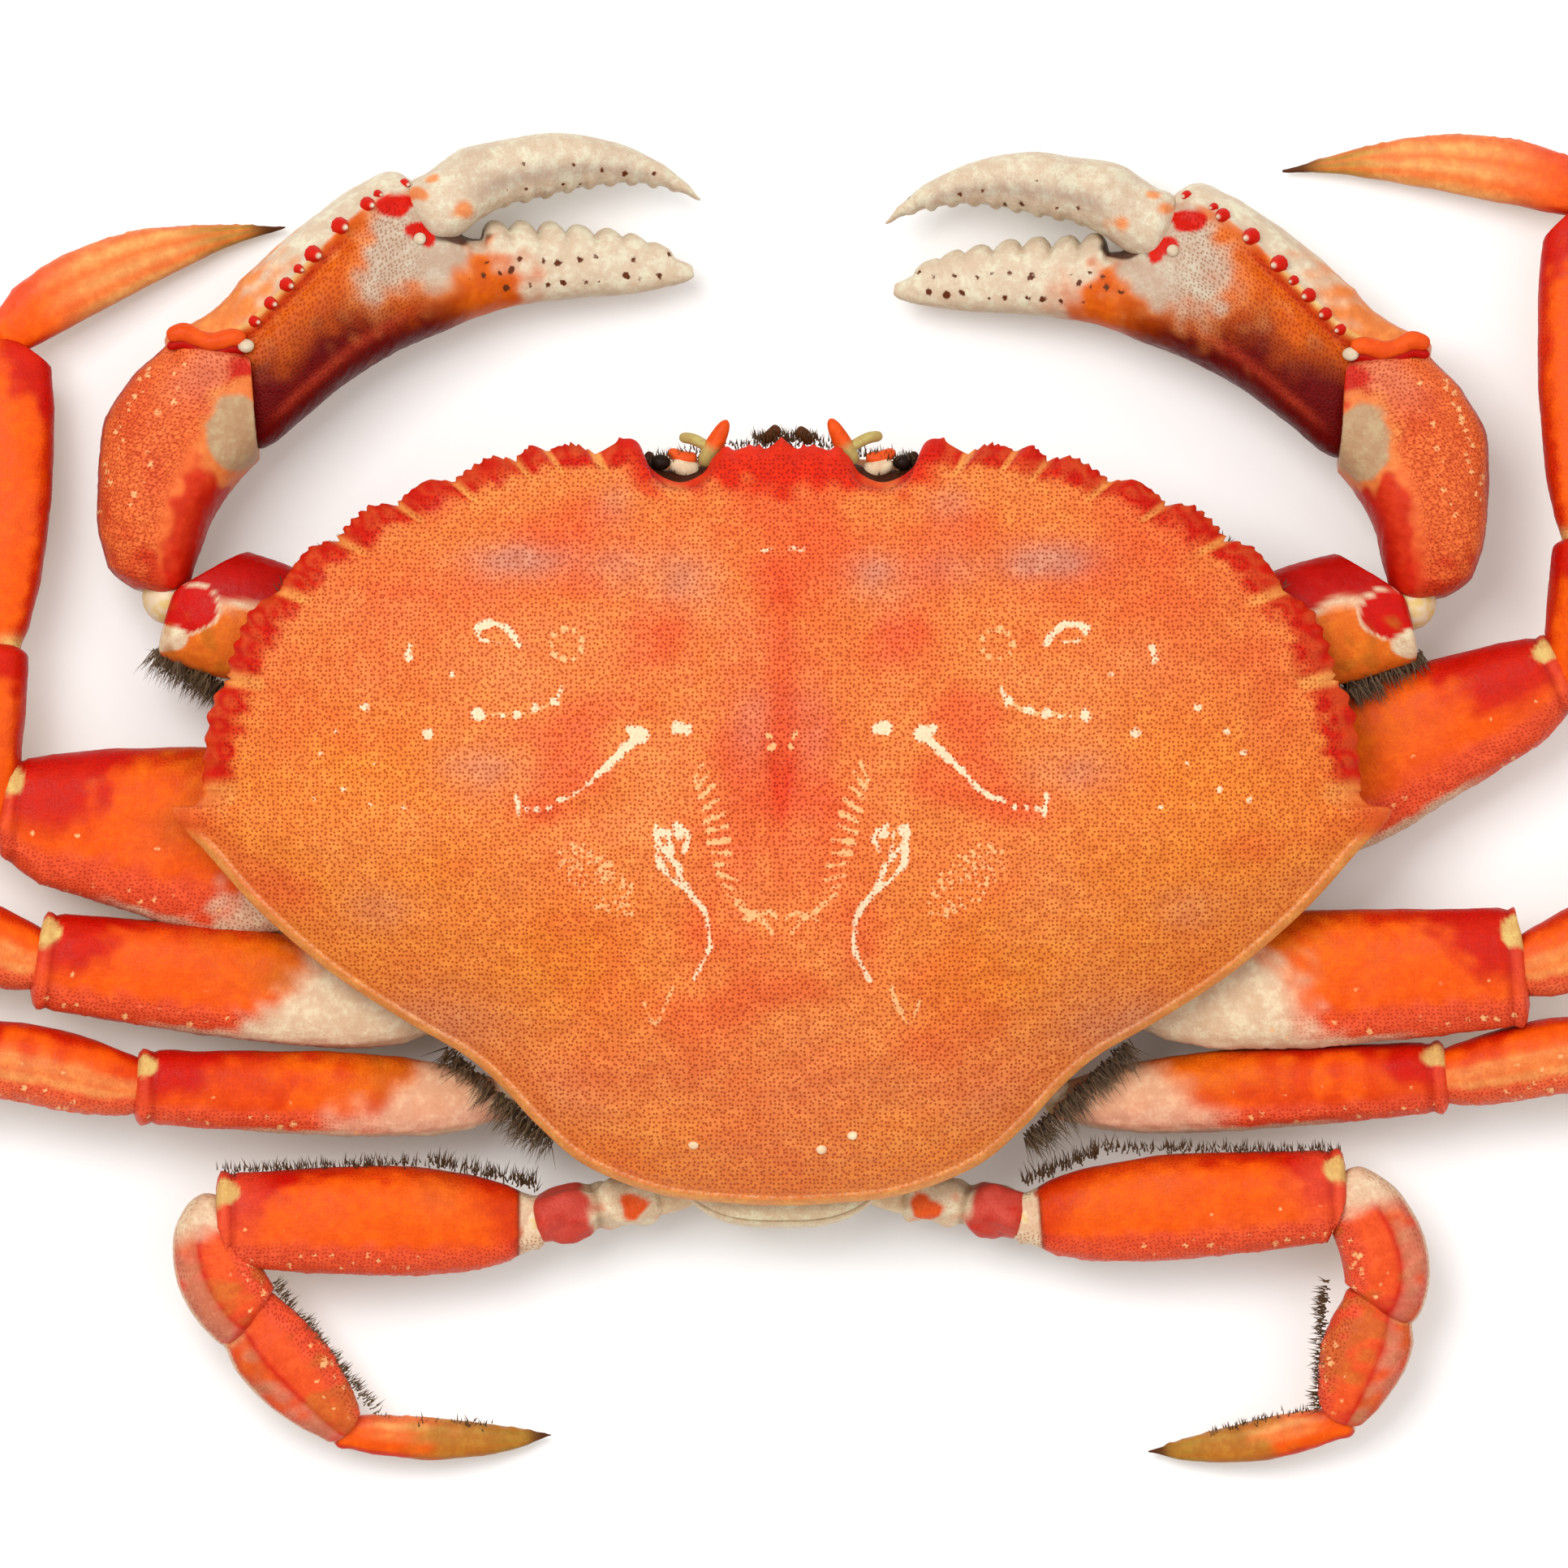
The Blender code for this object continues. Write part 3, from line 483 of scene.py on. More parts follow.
# The quill that the comb's barbs stand on, and each barb's turn in degrees at the start and end
QUILL = [(12.3, 5.6), (10.9, 0.2), (9.6, -5.4), (7.4, -11.0), (2.8, -13.8)]
BARBS, BARB_LENGTH, BARB_TURNS = 16, 2.7, (112.0, 238.0)
# The stippled oval: middle, half lengths and turn in degrees
STIPPLE = ((26.2, -8.6), (6.8, 3.4), 43.0)
STIPPLE_DOTS = 74
GOLDEN_ANGLE = 2.39996
FAINT_RING = ((30.6, 25.0), 2.2)
FAINT_STROKES = [
    ([(32.2, 16.8), (35.2, 15.4), (37.7, 15.1), (43.1, 14.9)], 0.12, 0.12),
    ([(15.6, -24.0), (18.0, -29.0), (19.6, -26.0)], 0.2, 0.1),
    ([(5.0, -14.2), (2.0, -13.2), (0.6, -14.0)], 0.2, 0.2),
    ([(2.0, 12.2), (1.6, 11.8)], 0.2, 0.2),
    ([(1.2, 10.6), (1.5, 10.2)], 0.2, 0.2),
]
# Glossy white beads near the rear
BEADS = [(-12.6, -46.4, 0.8), (5.7, -47.1, 0.8), (10.1, -45.1, 0.75), (21.6, -50.9, 0.6)]


def stroke_distance(points, stroke, half_start, half_end):
    """How far each point is outside a tapering line through the stroke's points, in a smooth curve."""
    places = np.linspace(0.0, len(stroke) - 1.0, 6 * (len(stroke) - 1) + 1)
    curve = catmull(stroke, places) if len(stroke) > 2 else np.array(stroke)
    best = np.full(points.shape[:-1], FAR)
    for k, (a, b) in enumerate(zip(curve, curve[1:])):
        run = b - a
        share = np.clip(((points - a) @ run) / max(run @ run, 1e-9), 0.0, 1.0)
        half = mix(half_start, half_end, (k + share) / (len(curve) - 1))
        best = np.minimum(best, np.linalg.norm(points - a - share[..., None] * run, axis=-1) - half)
    return best


def dot_distance(points, dots):
    best = np.full(points.shape[:-1], FAR)
    for x, y, radius in dots:
        best = np.minimum(best, np.hypot(points[..., 0] - x, points[..., 1] - y) - radius)
    return best


def mark_distances(x, y):
    """Distances to the edges of the pale and of the faint marks, in millimetres, negative inside them."""
    points = np.stack([np.abs(x), y], -1)
    pale = dot_distance(points, PALE_DOTS)
    for stroke, half_start, half_end in PALE_STROKES:
        pale = np.minimum(pale, stroke_distance(points, stroke, half_start, half_end))
    (sx, sy), (long, short), turn = STIPPLE
    way = np.array([math.cos(math.radians(turn)), math.sin(math.radians(turn))])
    dots = []
    for k in range(STIPPLE_DOTS):
        out, angle = math.sqrt((k + 0.5) / STIPPLE_DOTS), GOLDEN_ANGLE * k
        along, aside = long * out * math.cos(angle), short * out * math.sin(angle)
        dots.append((sx + along * way[0] - aside * way[1], sy + along * way[1] + aside * way[0], 0.22))
    (rx, ry), radius = FAINT_RING
    dots += [(rx + radius * math.cos(k * 0.7), ry + radius * math.sin(k * 0.7), 0.3) for k in range(9)]
    faint = dot_distance(points, dots)
    for k, root in enumerate(catmull(QUILL, np.linspace(0.0, len(QUILL) - 1.0, BARBS))):
        turn = math.radians(mix(*BARB_TURNS, (k / (BARBS - 1)) ** 0.8))
        tip = root + BARB_LENGTH * np.array([math.cos(turn), math.sin(turn)])
        faint = np.minimum(faint, stroke_distance(points, [tuple(root), tuple(tip)], 0.22, 0.12))
    for stroke, half_start, half_end in FAINT_STROKES:
        faint = np.minimum(faint, stroke_distance(points, stroke, half_start, half_end))
    return pale, faint


def margin_rows(count):
    """The whole margin, clockwise from the middle of the front, with teeth: edge, base and height."""
    table = np.asarray(MARGIN)
    steps = count // 2
    base_run = np.concatenate([[0.0], np.cumsum(np.linalg.norm(np.diff(table[:, :2], axis=0), axis=1))])
    numbers = np.interp(np.linspace(0.0, base_run[-1], steps + 1), base_run, np.arange(len(table)))
    rows = catmull(table[:, :5], numbers)
    span = np.clip(numbers.astype(int), 0, len(table) - 2)
    share = numbers - span
    rise = np.where(share < TOOTH_PEAK, share / TOOTH_PEAK, (1.0 - share) / (1.0 - TOOTH_PEAK))
    out = unit(rows[:, 2:4] - CARAPACE_CENTRE)
    tooth = table[span, 5] * np.clip(rise, 0.0, 1.0) ** 0.6
    along = numbers * 9.0
    saw = np.where(tooth > 0.25, 0.42 * np.abs(np.sin(along * 2.2)) + 0.18 * np.sin(along * 4.1 + 1.0), 0.0)
    rows[:, :2] += out * (tooth + saw)[:, None]
    toothed = np.clip(tooth / 1.2, 0.0, 1.0)
    half = np.hstack([rows, toothed[:, None], numbers[:, None]])
    mirrored = half[1:-1] * np.array([-1, 1, -1, 1, 1, 1, 1])
    return np.vstack([half, mirrored[::-1]])


def relief(x, y):
    """How far the swellings and hollows raise each place."""
    total = np.zeros(x.shape)
    for (middle, forward), halves, height in REGIONS:
        for side in (1, -1) if middle else (1,):
            total += height * near_oval(x, y, (side * middle, forward), halves)
    return total


def near_oval(x, y, middle, halves):
    """1 at an oval's middle and near 0 outside it."""
    return bell(x - middle[0], halves[0]) * bell(y - middle[1], halves[1])


def paint_carapace(x, y, reach, rows):
    """Colour over the top of the carapace."""
    points = np.stack([x, y, np.zeros(x.shape)], -1)
    ax = np.abs(x)
    coat = Coat(SHELL_ORANGE, points)
    coat.over(SHELL_REAR, ramp(0.0, -45.0, y))
    coat.over(SHELL_GOLD, 0.55 * ramp(28.0, 62.0, ax) * ramp(24.0, 4.0, y))
    blotch = ripple(points, 22.0, 4) + 0.5 * ripple(points, 7.0, 6)
    coat.over(SHELL_BLUSH, 0.6 * ramp(0.0, 1.2, blotch))
    coat.over(SHELL_LIGHT, 0.35 * ramp(0.0, 1.3, -blotch))
    # The lilac patches are painted sheen where highlights fall, and painted shade near the rear margin
    for hue, patches in ((SHELL_BLUSH, BLUSHES), (SHELL_GOLD, GOLDS), (SHELL_LILAC_AND_SHEEN, LILAC_SHEEN_AND_SHADE)):
        for middle, halves, share in patches:
            ragged = near_oval(ax, y, middle, halves) * (1.0 + 0.35 * ripple(points, 6.0, 9))
            coat.over(hue, share * np.clip(ragged, 0.0, 1.0))
    median = bell(x, 2.2) * ramp(-14.0, 2.0, y) * ramp(42.0, 30.0, y)
    coat.over(SHELL_RED, 0.30 * median)
    deep = bell(ax - (y - 1.0) * 0.16, 0.9) * bell(y - 5.0, 5.0)
    coat.over(SHELL_RED, 0.5 * deep)
    fine = ripple(points, 3.0, 8)
    band = ramp(44.5, 49.0, y + 1.3 * fine - 0.05 * ax) * ramp(25.0, 19.0, ax)
    coat.over(SHELL_RED, 0.95 * band)
    # Painted shade in the socket round each eye
    socket = np.hypot((ax - EYE_PLACE[0]) / 4.6, (y - EYE_PLACE[1] - 0.6) / 2.9)
    coat.over(SOCKET_SHADE, ramp(1.02, 0.9, socket + 0.05 * fine))
    number = rows[:, 6]
    toothed = ramp(FIRST_TOOTH - 1.6, FIRST_TOOTH - 1.2, number)[None, :]
    toothed = toothed * ramp(LAST_TOOTH + 1.5, LAST_TOOTH + 0.7, number)[None, :]
    ragged = reach + 0.008 * fine + 0.004 * ripple(points, 1.4, 12)
    edge = ramp(0.932, 0.958, ragged) * toothed
    between = ramp(0.62, 0.25, rows[None, :, 5]) * (number > FIRST_TOOTH + 0.8)[None, :]
    coat.over(TOOTH_RED, (0.88 + 0.12 * np.sin(4.0 * fine)) * edge * (1.0 - between))
    wedge = ramp(0.925, 0.945, ragged) * ramp(1.0, 0.985, ragged - 0.004)
    coat.over(NOTCH_PALE, 0.8 * wedge * toothed * between)
    spine = near_oval(ax, y, (85.4, 0.6), (4.0, 2.8))
    coat.over(SHELL_RED, 0.6 * np.sqrt(np.clip(spine, 0.0, 1.0)))
    rear_band = ramp(0.86, 0.95, reach + 0.01 * fine) * ramp(-30.0, -42.0, y)
    coat.over(REAR_GOLD, 0.5 * rear_band)
    behind = ramp(LAST_TOOTH + 1.4, LAST_TOOTH + 1.9, number)[None, :]
    coat.over(RIM_ORANGE, 0.9 * behind * ramp(0.980, 0.988, reach))
    beads = 0.6 + 0.4 * np.sin(number * 60.0)[None, :]
    coat.over(MARK_PALE, 0.55 * behind * beads * bell(reach - 0.978, 0.003))
    return coat.colour


# Patches of colour on the right half, which are mirrored: middle, half widths and strength
BLUSHES = [
    ((17.6, 26.0), (5.0, 6.0), 0.75),
    ((34.0, 1.6), (5.0, 2.6), 0.75),
    ((11.5, -17.0), (3.0, 6.0), 0.6),
    ((0.0, 20.0), (9.0, 20.0), 0.5),
    ((27.0, 39.0), (10.0, 4.0), 0.4),
    ((8.0, 41.0), (10.0, 4.0), 0.35),
    ((6.0, -3.0), (7.0, 11.0), 0.5),
    ((44.0, 33.0), (14.0, 7.0), 0.35),
    ((58.0, 24.0), (9.0, 9.0), 0.3),
    ((54.0, 33.0), (11.0, 4.0), 0.4),
    ((71.0, 15.0), (5.0, 9.0), 0.4),
    ((30.0, -9.0), (5.0, 4.0), 0.35),
    ((26.0, -36.0), (10.0, 5.0), 0.35),
    ((5.0, -40.0), (8.0, 9.0), 0.3),
]
GOLDS = [
    ((32.0, -21.0), (14.0, 10.0), 0.75),
    ((56.0, -12.0), (12.0, 9.0), 0.5),
    ((60.0, 6.0), (10.0, 9.0), 0.45),
    ((20.0, -46.0), (12.0, 5.0), 0.4),
]
# Painted light: lilac sheen at the highlights on the dome, and lilac-grey painted shade near the rear
# margin
LILAC_SHEEN_AND_SHADE = [
    ((37.6, 37.0), (7.0, 2.6), 0.75),
    ((14.0, 34.6), (4.4, 3.2), 0.7),
    ((24.0, 36.0), (4.0, 3.0), 0.4),
    ((42.0, 7.0), (6.0, 3.0), 0.4),
    ((24.0, 45.0), (3.0, 3.0), 0.35),
    ((4.0, 13.0), (3.0, 6.0), 0.3),
    ((58.0, -13.0), (5.0, 3.0), 0.25),
    ((50.0, -30.0), (9.0, 5.0), 0.4),
    ((36.0, -43.0), (9.0, 5.0), 0.35),
]


def dome_height(reach):
    return np.clip(1.0 - reach**2.4, 0.0, 1.0) ** 0.82


def bead_place(x, y):
    """A place on the rear slope of the carapace, near enough for a bead."""
    reach = abs((y - CARAPACE_CENTRE[1]) / (-55.0 - CARAPACE_CENTRE[1])) + 0.0006 * x * x / 4.0
    return (x, y, mix(22.2, CROWN_Z, dome_height(np.array(reach))) + 0.3)


def carapace_top(rows, reaches):
    """The domed top, from its crown to the toothed margin: its points, and what its paint says."""
    edge, base, rim = rows[:, 0:2], rows[:, 2:4], rows[:, 4]
    reach = reaches[:, None]
    near_edge = ramp(1.0 - TOOTH_REACH, 1.0, reach)[..., None]
    flat = mix(CARAPACE_CENTRE, base[None], reach[..., None]) + (edge - base)[None] * near_edge
    x, y = flat[..., 0], flat[..., 1]
    dome = dome_height(reach)
    fade = 1.0 - ramp(0.8, 1.0, reach)
    z = mix(rim[None], CROWN_Z, dome) + relief(x, y) * fade
    points = np.stack([x, y, z], -1)
    z = z + 0.28 * ripple(points, 9.0, 2) * fade + 0.07 * ripple(points, 2.2, 3)
    behind = ramp(LAST_TOOTH + 1.4, LAST_TOOTH + 1.9, rows[:, 6])[None, :]
    z = z + behind * (0.4 * ramp(0.976, 0.985, reach) - 0.2 * bell(reach - 0.972, 0.004))
    toothed = rows[None, :, 5]
    z = z + 0.8 * toothed * bell(reach - 0.965, 0.03)
    pits = np.broadcast_to(0.95 * (1.0 - 0.8 * ramp(0.95, 0.99, reach)), x.shape)
    pale, faint = mark_distances(x, y)
    paint = {"tint": paint_carapace(x, y, reach, rows), "pits": pits, "pale": pale, "faint": faint}
    return np.stack([x, y, z], -1), paint


def carapace_underside(rows, rim_z):
    """The underside, from the margin in to the floor that the body hides."""
    edge, base = rows[:, 0:2], rows[:, 2:4]
    shares = np.concatenate([[0.0, 0.02], np.linspace(0.05, 1.0, 18)])[:, None]
    angle = np.arctan2(base[:, 1], base[:, 0])
    side, front, rear = CARAPACE_FLOOR
    depth = np.where(base[:, 1] > 0, front, rear)
    inner_reach = 1.0 / np.hypot(np.cos(angle) / side, np.sin(angle) / depth)
    inner = np.stack([np.cos(angle), np.sin(angle)], -1) * inner_reach[:, None]
    from_edge = 1.0 - ramp(0.0, 0.25, shares)
    start = base[None] + (edge - base)[None] * from_edge[..., None]
    under = mix(start, inner[None], shares[..., None])
    drop = 1.0 - (1.0 - shares) ** 1.6
    z = mix((rim_z - 1.3)[None], CARAPACE_FLOOR_Z, drop)
    under = np.concatenate([under, z[..., None]], -1)
    coat = Coat(BELLY_CREAM, under)
    coat.over(LEG_CORAL, 0.75 * (1.0 - ramp(0.0, 0.4, shares)))
    # Painted shade under each eye socket
    orbit_shade = near_oval(np.abs(under[..., 0]), under[..., 1], EYE_PLACE, (6.0, 4.0))
    coat.over(SOCKET_SHADE, ramp(0.2, 0.5, orbit_shade))
    far = np.full(z.shape, FAR)
    return under, {"tint": coat.colour, "pits": np.full(z.shape, 0.25), "pale": far, "faint": far}


def make_carapace(finish):
    columns, rings = ((960, 230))
    rows = margin_rows(columns)
    reaches = np.concatenate([np.linspace(0.01, 0.9, rings), np.linspace(0.905, 1.0, 26)])
    top, top_paint = carapace_top(rows, reaches)
    under, under_paint = carapace_underside(rows, top[-1, :, 2])
    points = np.concatenate([top, under])
    paint = {key: np.concatenate([top_paint[key], under_paint[key]]) for key in top_paint}
    crown = np.array([*CARAPACE_CENTRE, points[0, :, 2].mean()])
    floor = np.array([0.0, -3.0, CARAPACE_FLOOR_Z])
    piece = grid_mesh("carapace_shell", points, paint, finish, first_pole=crown, last_pole=floor)
    place(piece, "orange_shell", "carapace")


# Limbs

# Profiles of the limbs' pieces: share along, front and rear edge, top and bottom. Those of the legs and
# of the bases are shares of the width and of half the thickness, those of the claws are millimetres.
LEG_1_MERUS = [
    (0.00, 0.24, -0.26, 0.60, 0.60),
    (0.10, 0.34, -0.38, 0.80, 0.80),
    (0.24, 0.42, -0.50, 0.95, 0.95),
    (0.42, 0.46, -0.54, 1.00, 1.00),
    (0.70, 0.40, -0.44, 1.00, 0.96),
    (0.87, 0.33, -0.37, 0.94, 0.90),
    (0.96, 0.28, -0.27, 0.88, 0.84),
    (1.00, 0.24, -0.20, 0.80, 0.76),
]
MERUS = [
    (0.00, 0.24, -0.26, 0.60, 0.60),
    (0.08, 0.34, -0.38, 0.80, 0.80),
    (0.20, 0.43, -0.47, 0.95, 0.95),
    (0.42, 0.50, -0.51, 1.00, 1.00),
    (0.70, 0.47, -0.49, 1.00, 0.96),
    (0.90, 0.44, -0.46, 0.94, 0.90),
    (0.97, 0.43, -0.45, 0.90, 0.86),
    (1.00, 0.40, -0.42, 0.84, 0.80),
]
CARPUS = [
    (0.00, 0.32, -0.32, 0.72, 0.70),
    (0.12, 0.38, -0.40, 0.86, 0.82),
    (0.30, 0.45, -0.47, 0.98, 0.94),
    (0.62, 0.49, -0.50, 1.02, 0.96),
    (0.88, 0.46, -0.48, 0.96, 0.90),
    (1.00, 0.43, -0.45, 0.90, 0.84),
]
PROPODUS = [
    (0.00, 0.30, -0.30, 0.70, 0.70),
    (0.07, 0.37, -0.37, 0.84, 0.84),
    (0.22, 0.45, -0.45, 0.98, 0.98),
    (0.50, 0.50, -0.50, 1.00, 1.00),
    (0.78, 0.47, -0.48, 0.92, 0.92),
    (0.94, 0.41, -0.43, 0.82, 0.82),
    (1.00, 0.35, -0.38, 0.72, 0.72),
]
DACTYL = [
    (0.00, 0.24, -0.48, 0.70, 0.70),
    (0.08, 0.22, -0.68, 0.92, 0.92),
    (0.26, 0.14, -0.84, 1.00, 1.00),
    (0.50, 0.04, -0.80, 0.86, 0.86),
    (0.72, -0.04, -0.54, 0.66, 0.66),
    (0.88, -0.04, -0.27, 0.42, 0.42),
    (1.00, 0.01, -0.03, 0.12, 0.12),
]
REAR_PROPODUS = [
    (0.00, 0.42, -0.40, 0.76, 0.76),
    (0.20, 0.52, -0.46, 0.94, 0.94),
    (0.48, 0.50, -0.46, 1.00, 1.00),
    (0.78, 0.38, -0.36, 0.92, 0.92),
    (1.00, 0.24, -0.24, 0.74, 0.74),
]
REAR_DACTYL = [
    (0.00, 0.44, -0.34, 0.70, 0.70),
    (0.12, 0.56, -0.40, 0.96, 0.96),
    (0.40, 0.66, -0.36, 1.00, 1.00),
    (0.66, 0.54, -0.26, 0.80, 0.80),
    (0.84, 0.34, -0.14, 0.48, 0.48),
    (1.00, 0.03, -0.02, 0.12, 0.12),
]
BASE = [
    (0.00, 0.50, -0.50, 1.00, 1.00),
    (0.35, 0.44, -0.46, 0.94, 0.94),
    (0.72, 0.50, -0.50, 1.00, 1.00),
    (1.00, 0.42, -0.44, 0.86, 0.86),
]
CLAW_MERUS = [
    (0.00, 6.0, -7.0, 5.5, 5.5),
    (0.20, 8.6, -7.6, 7.0, 6.6),
    (0.50, 9.6, -8.8, 7.6, 7.0),
    (0.84, 8.8, -8.8, 7.4, 6.8),
    (1.00, 6.4, -8.4, 6.4, 6.4),
]
CLAW_CARPUS = [
    (0.00, 2.0, -7.0, 6.5, 6.5),
    (0.06, 2.4, -9.6, 8.0, 7.6),
    (0.18, 2.8, -12.0, 9.6, 9.0),
    (0.33, 3.4, -13.4, 10.6, 9.8),
    (0.48, 5.3, -14.4, 10.8, 10.0),
    (0.64, 8.6, -14.7, 10.6, 10.0),
    (0.83, 12.0, -12.2, 10.0, 9.4),
    (0.96, 12.0, -8.8, 9.0, 8.6),
    (1.00, 11.0, -7.4, 8.4, 8.0),
]
PALM = [
    (-0.13, 4.0, -4.4, 5.0, 4.0),
    (-0.08, 8.0, -4.5, 5.6, 5.0),
    (-0.03, 11.0, -5.6, 6.2, 6.0),
    (0.01, 13.6, -7.2, 7.2, 6.8),
    (0.05, 14.6, -9.8, 8.2, 7.6),
    (0.14, 11.2, -13.9, 9.2, 8.2),
    (0.24, 7.2, -17.8, 9.6, 8.4),
    (0.34, 4.4, -20.9, 9.2, 8.2),
    (0.41, 2.8, -21.8, 8.8, 7.8),
    (0.47, 1.9, -17.6, 8.0, 7.0),
    (0.53, 0.8, -11.2, 6.8, 6.0),
    (0.60, 0.0, -10.0, 5.6, 5.0),
    (0.75, 0.3, -8.6, 4.6, 4.1),
    (0.88, 0.9, -6.2, 3.4, 3.1),
    (0.96, 0.7, -3.6, 2.4, 2.2),
    (1.00, 0.2, -2.0, 1.2, 1.1),
]
FINGER = [
    (-0.12, 3.0, -1.6, 4.6, 4.4),
    (-0.05, 6.6, -2.4, 6.2, 5.8),
    (0.00, 7.4, -3.8, 6.8, 6.2),
    (0.08, 6.4, -6.2, 7.2, 6.4),
    (0.16, 3.9, -7.2, 7.0, 6.2),
    (0.27, 1.5, -8.0, 6.4, 5.6),
    (0.41, 0.0, -9.0, 5.7, 5.0),
    (0.56, -1.5, -8.8, 4.8, 4.3),
    (0.71, -2.3, -7.5, 3.9, 3.5),
    (0.85, -1.9, -5.2, 2.8, 2.5),
    (0.95, -0.9, -2.4, 1.6, 1.4),
    (1.00, 0.0, -0.4, 0.5, 0.5),
]

# Each leg's joints from the coxa to the tip, the ways that its sharply bent joints look, by the joint's
# number, the widths of merus, carpus, propodus and dactyl, and half their thickness
LEGS = {
    "leg_1_left": (
        [
            (-38, 3, 9), (-59, -4.6, 12.5), (-113, 1.4, 15),
            (-114.2, 25, 15), (-111.5, 69.3, 9), (-71.9, 85.7, 1.6),
        ],
        {2: (-0.92, 0.39, 0), 3: (0.05, 1, -0.1)},
        (26.8, 13.0, 15.0, 10.0),
        (6.4, 6.0, 4.6, 3.2),
    ),
    "leg_2_left": (
        [
            (-36, -13, 9), (-50, -27.0, 12), (-107.8, -20.0, 15.5),
            (-131.9, -9.9, 14.5), (-162, 18, 9), (-160, 61, 1.6),
        ],
        {},
        (15.9, 12.8, 13.5, 9.5),
        (6.0, 5.8, 4.6, 3.2),
    ),
    "leg_3_left": (
        [
            (-30, -29, 9), (-41, -40.4, 11.5), (-93.4, -38.4, 15),
            (-117.9, -34.5, 14), (-151, -46, 9), (-178, -75, 1.6),
        ],
        {},
        (12.0, 11.6, 11.5, 8.5),
        (5.8, 5.4, 4.3, 3.0),
    ),
    "leg_4_left": (
        [
            (-18, -53.8, 9.5), (-36, -58.0, 11.5), (-82, -57.6, 13),
            (-76.4, -72.5, 11.5), (-62.6, -88.4, 8), (-33.4, -89.2, 1.6),
        ],
        {2: (-0.9, -0.44, 0), 3: (0.8, -0.6, 0)},
        (15.6, 12.2, 12.6, 6.0),
        (5.8, 5.4, 4.4, 2.6),
    ),
    "leg_1_right": (
        [
            (38, 3, 8), (59.5, -1.4, 8.2), (113.4, 21.6, 13),
            (117, 40.2, 14.5), (116.3, 89.1, 9), (72.6, 93.8, 1.6),
        ],
        {2: (0.95, 0.3, 0), 3: (0.05, 1, -0.1)},
        (22.5, 13.0, 15.0, 9.6),
        (6.2, 6.0, 4.6, 3.2),
    ),
    "leg_2_right": (
        [
            (36, -13, 9), (50, -24.5, 12.5), (107.6, -21.0, 16.5),
            (130.8, -9.9, 14.5), (161.5, 17.5, 9), (160, 60, 1.6),
        ],
        {},
        (19.5, 12.8, 13.5, 9.5),
        (6.0, 5.8, 4.6, 3.2),
    ),
    "leg_3_right": (
        [
            (30, -29, 8), (41, -40.6, 9.5), (96.3, -37.0, 12.5),
            (120.9, -33.8, 13), (154.5, -46, 9), (181, -75, 1.6),
        ],
        {},
        (11.6, 11.2, 11.5, 8.5),
        (5.8, 5.4, 4.3, 3.0),
    ),
    "leg_4_right": (
        [
            (18, -53.8, 9.5), (35.4, -57.4, 11.5), (82, -54.0, 13),
            (86.0, -70.6, 11.5), (80.6, -87.0, 8), (53.2, -91.6, 1.6),
        ],
        {2: (0.9, -0.44, 0), 3: (-0.6, -0.8, 0)},
        (15.0, 12.6, 12.8, 5.8),
        (5.8, 5.4, 4.4, 2.6),
    ),
}
# Each claw's joints: root, shoulder, elbow, wrist, tip of the fixed finger, hinge and tip of the moving one
CLAWS = {
    "claw_left": [
        (-42, 17, 13), (-64.5, 24.8, 16), (-88.2, 32, 15), (-80, 67.6, 13),
        (-12.7, 78.3, 7), (-49.7, 90.5, 13.5), (-11.8, 89.4, 8),
    ],
    "claw_right": [
        (42, 17, 13), (65.2, 24.8, 16), (90.4, 31.2, 15), (84.8, 66.4, 13),
        (16.2, 75.7, 7), (52.7, 88.3, 13.5), (15.1, 86, 8),
    ],
}


def superellipse(angles, power):
    c, s = np.cos(angles), np.sin(angles)
    return np.sign(c) * np.abs(c) ** (2.0 / power), np.sign(s) * np.abs(s) ** (2.0 / power)


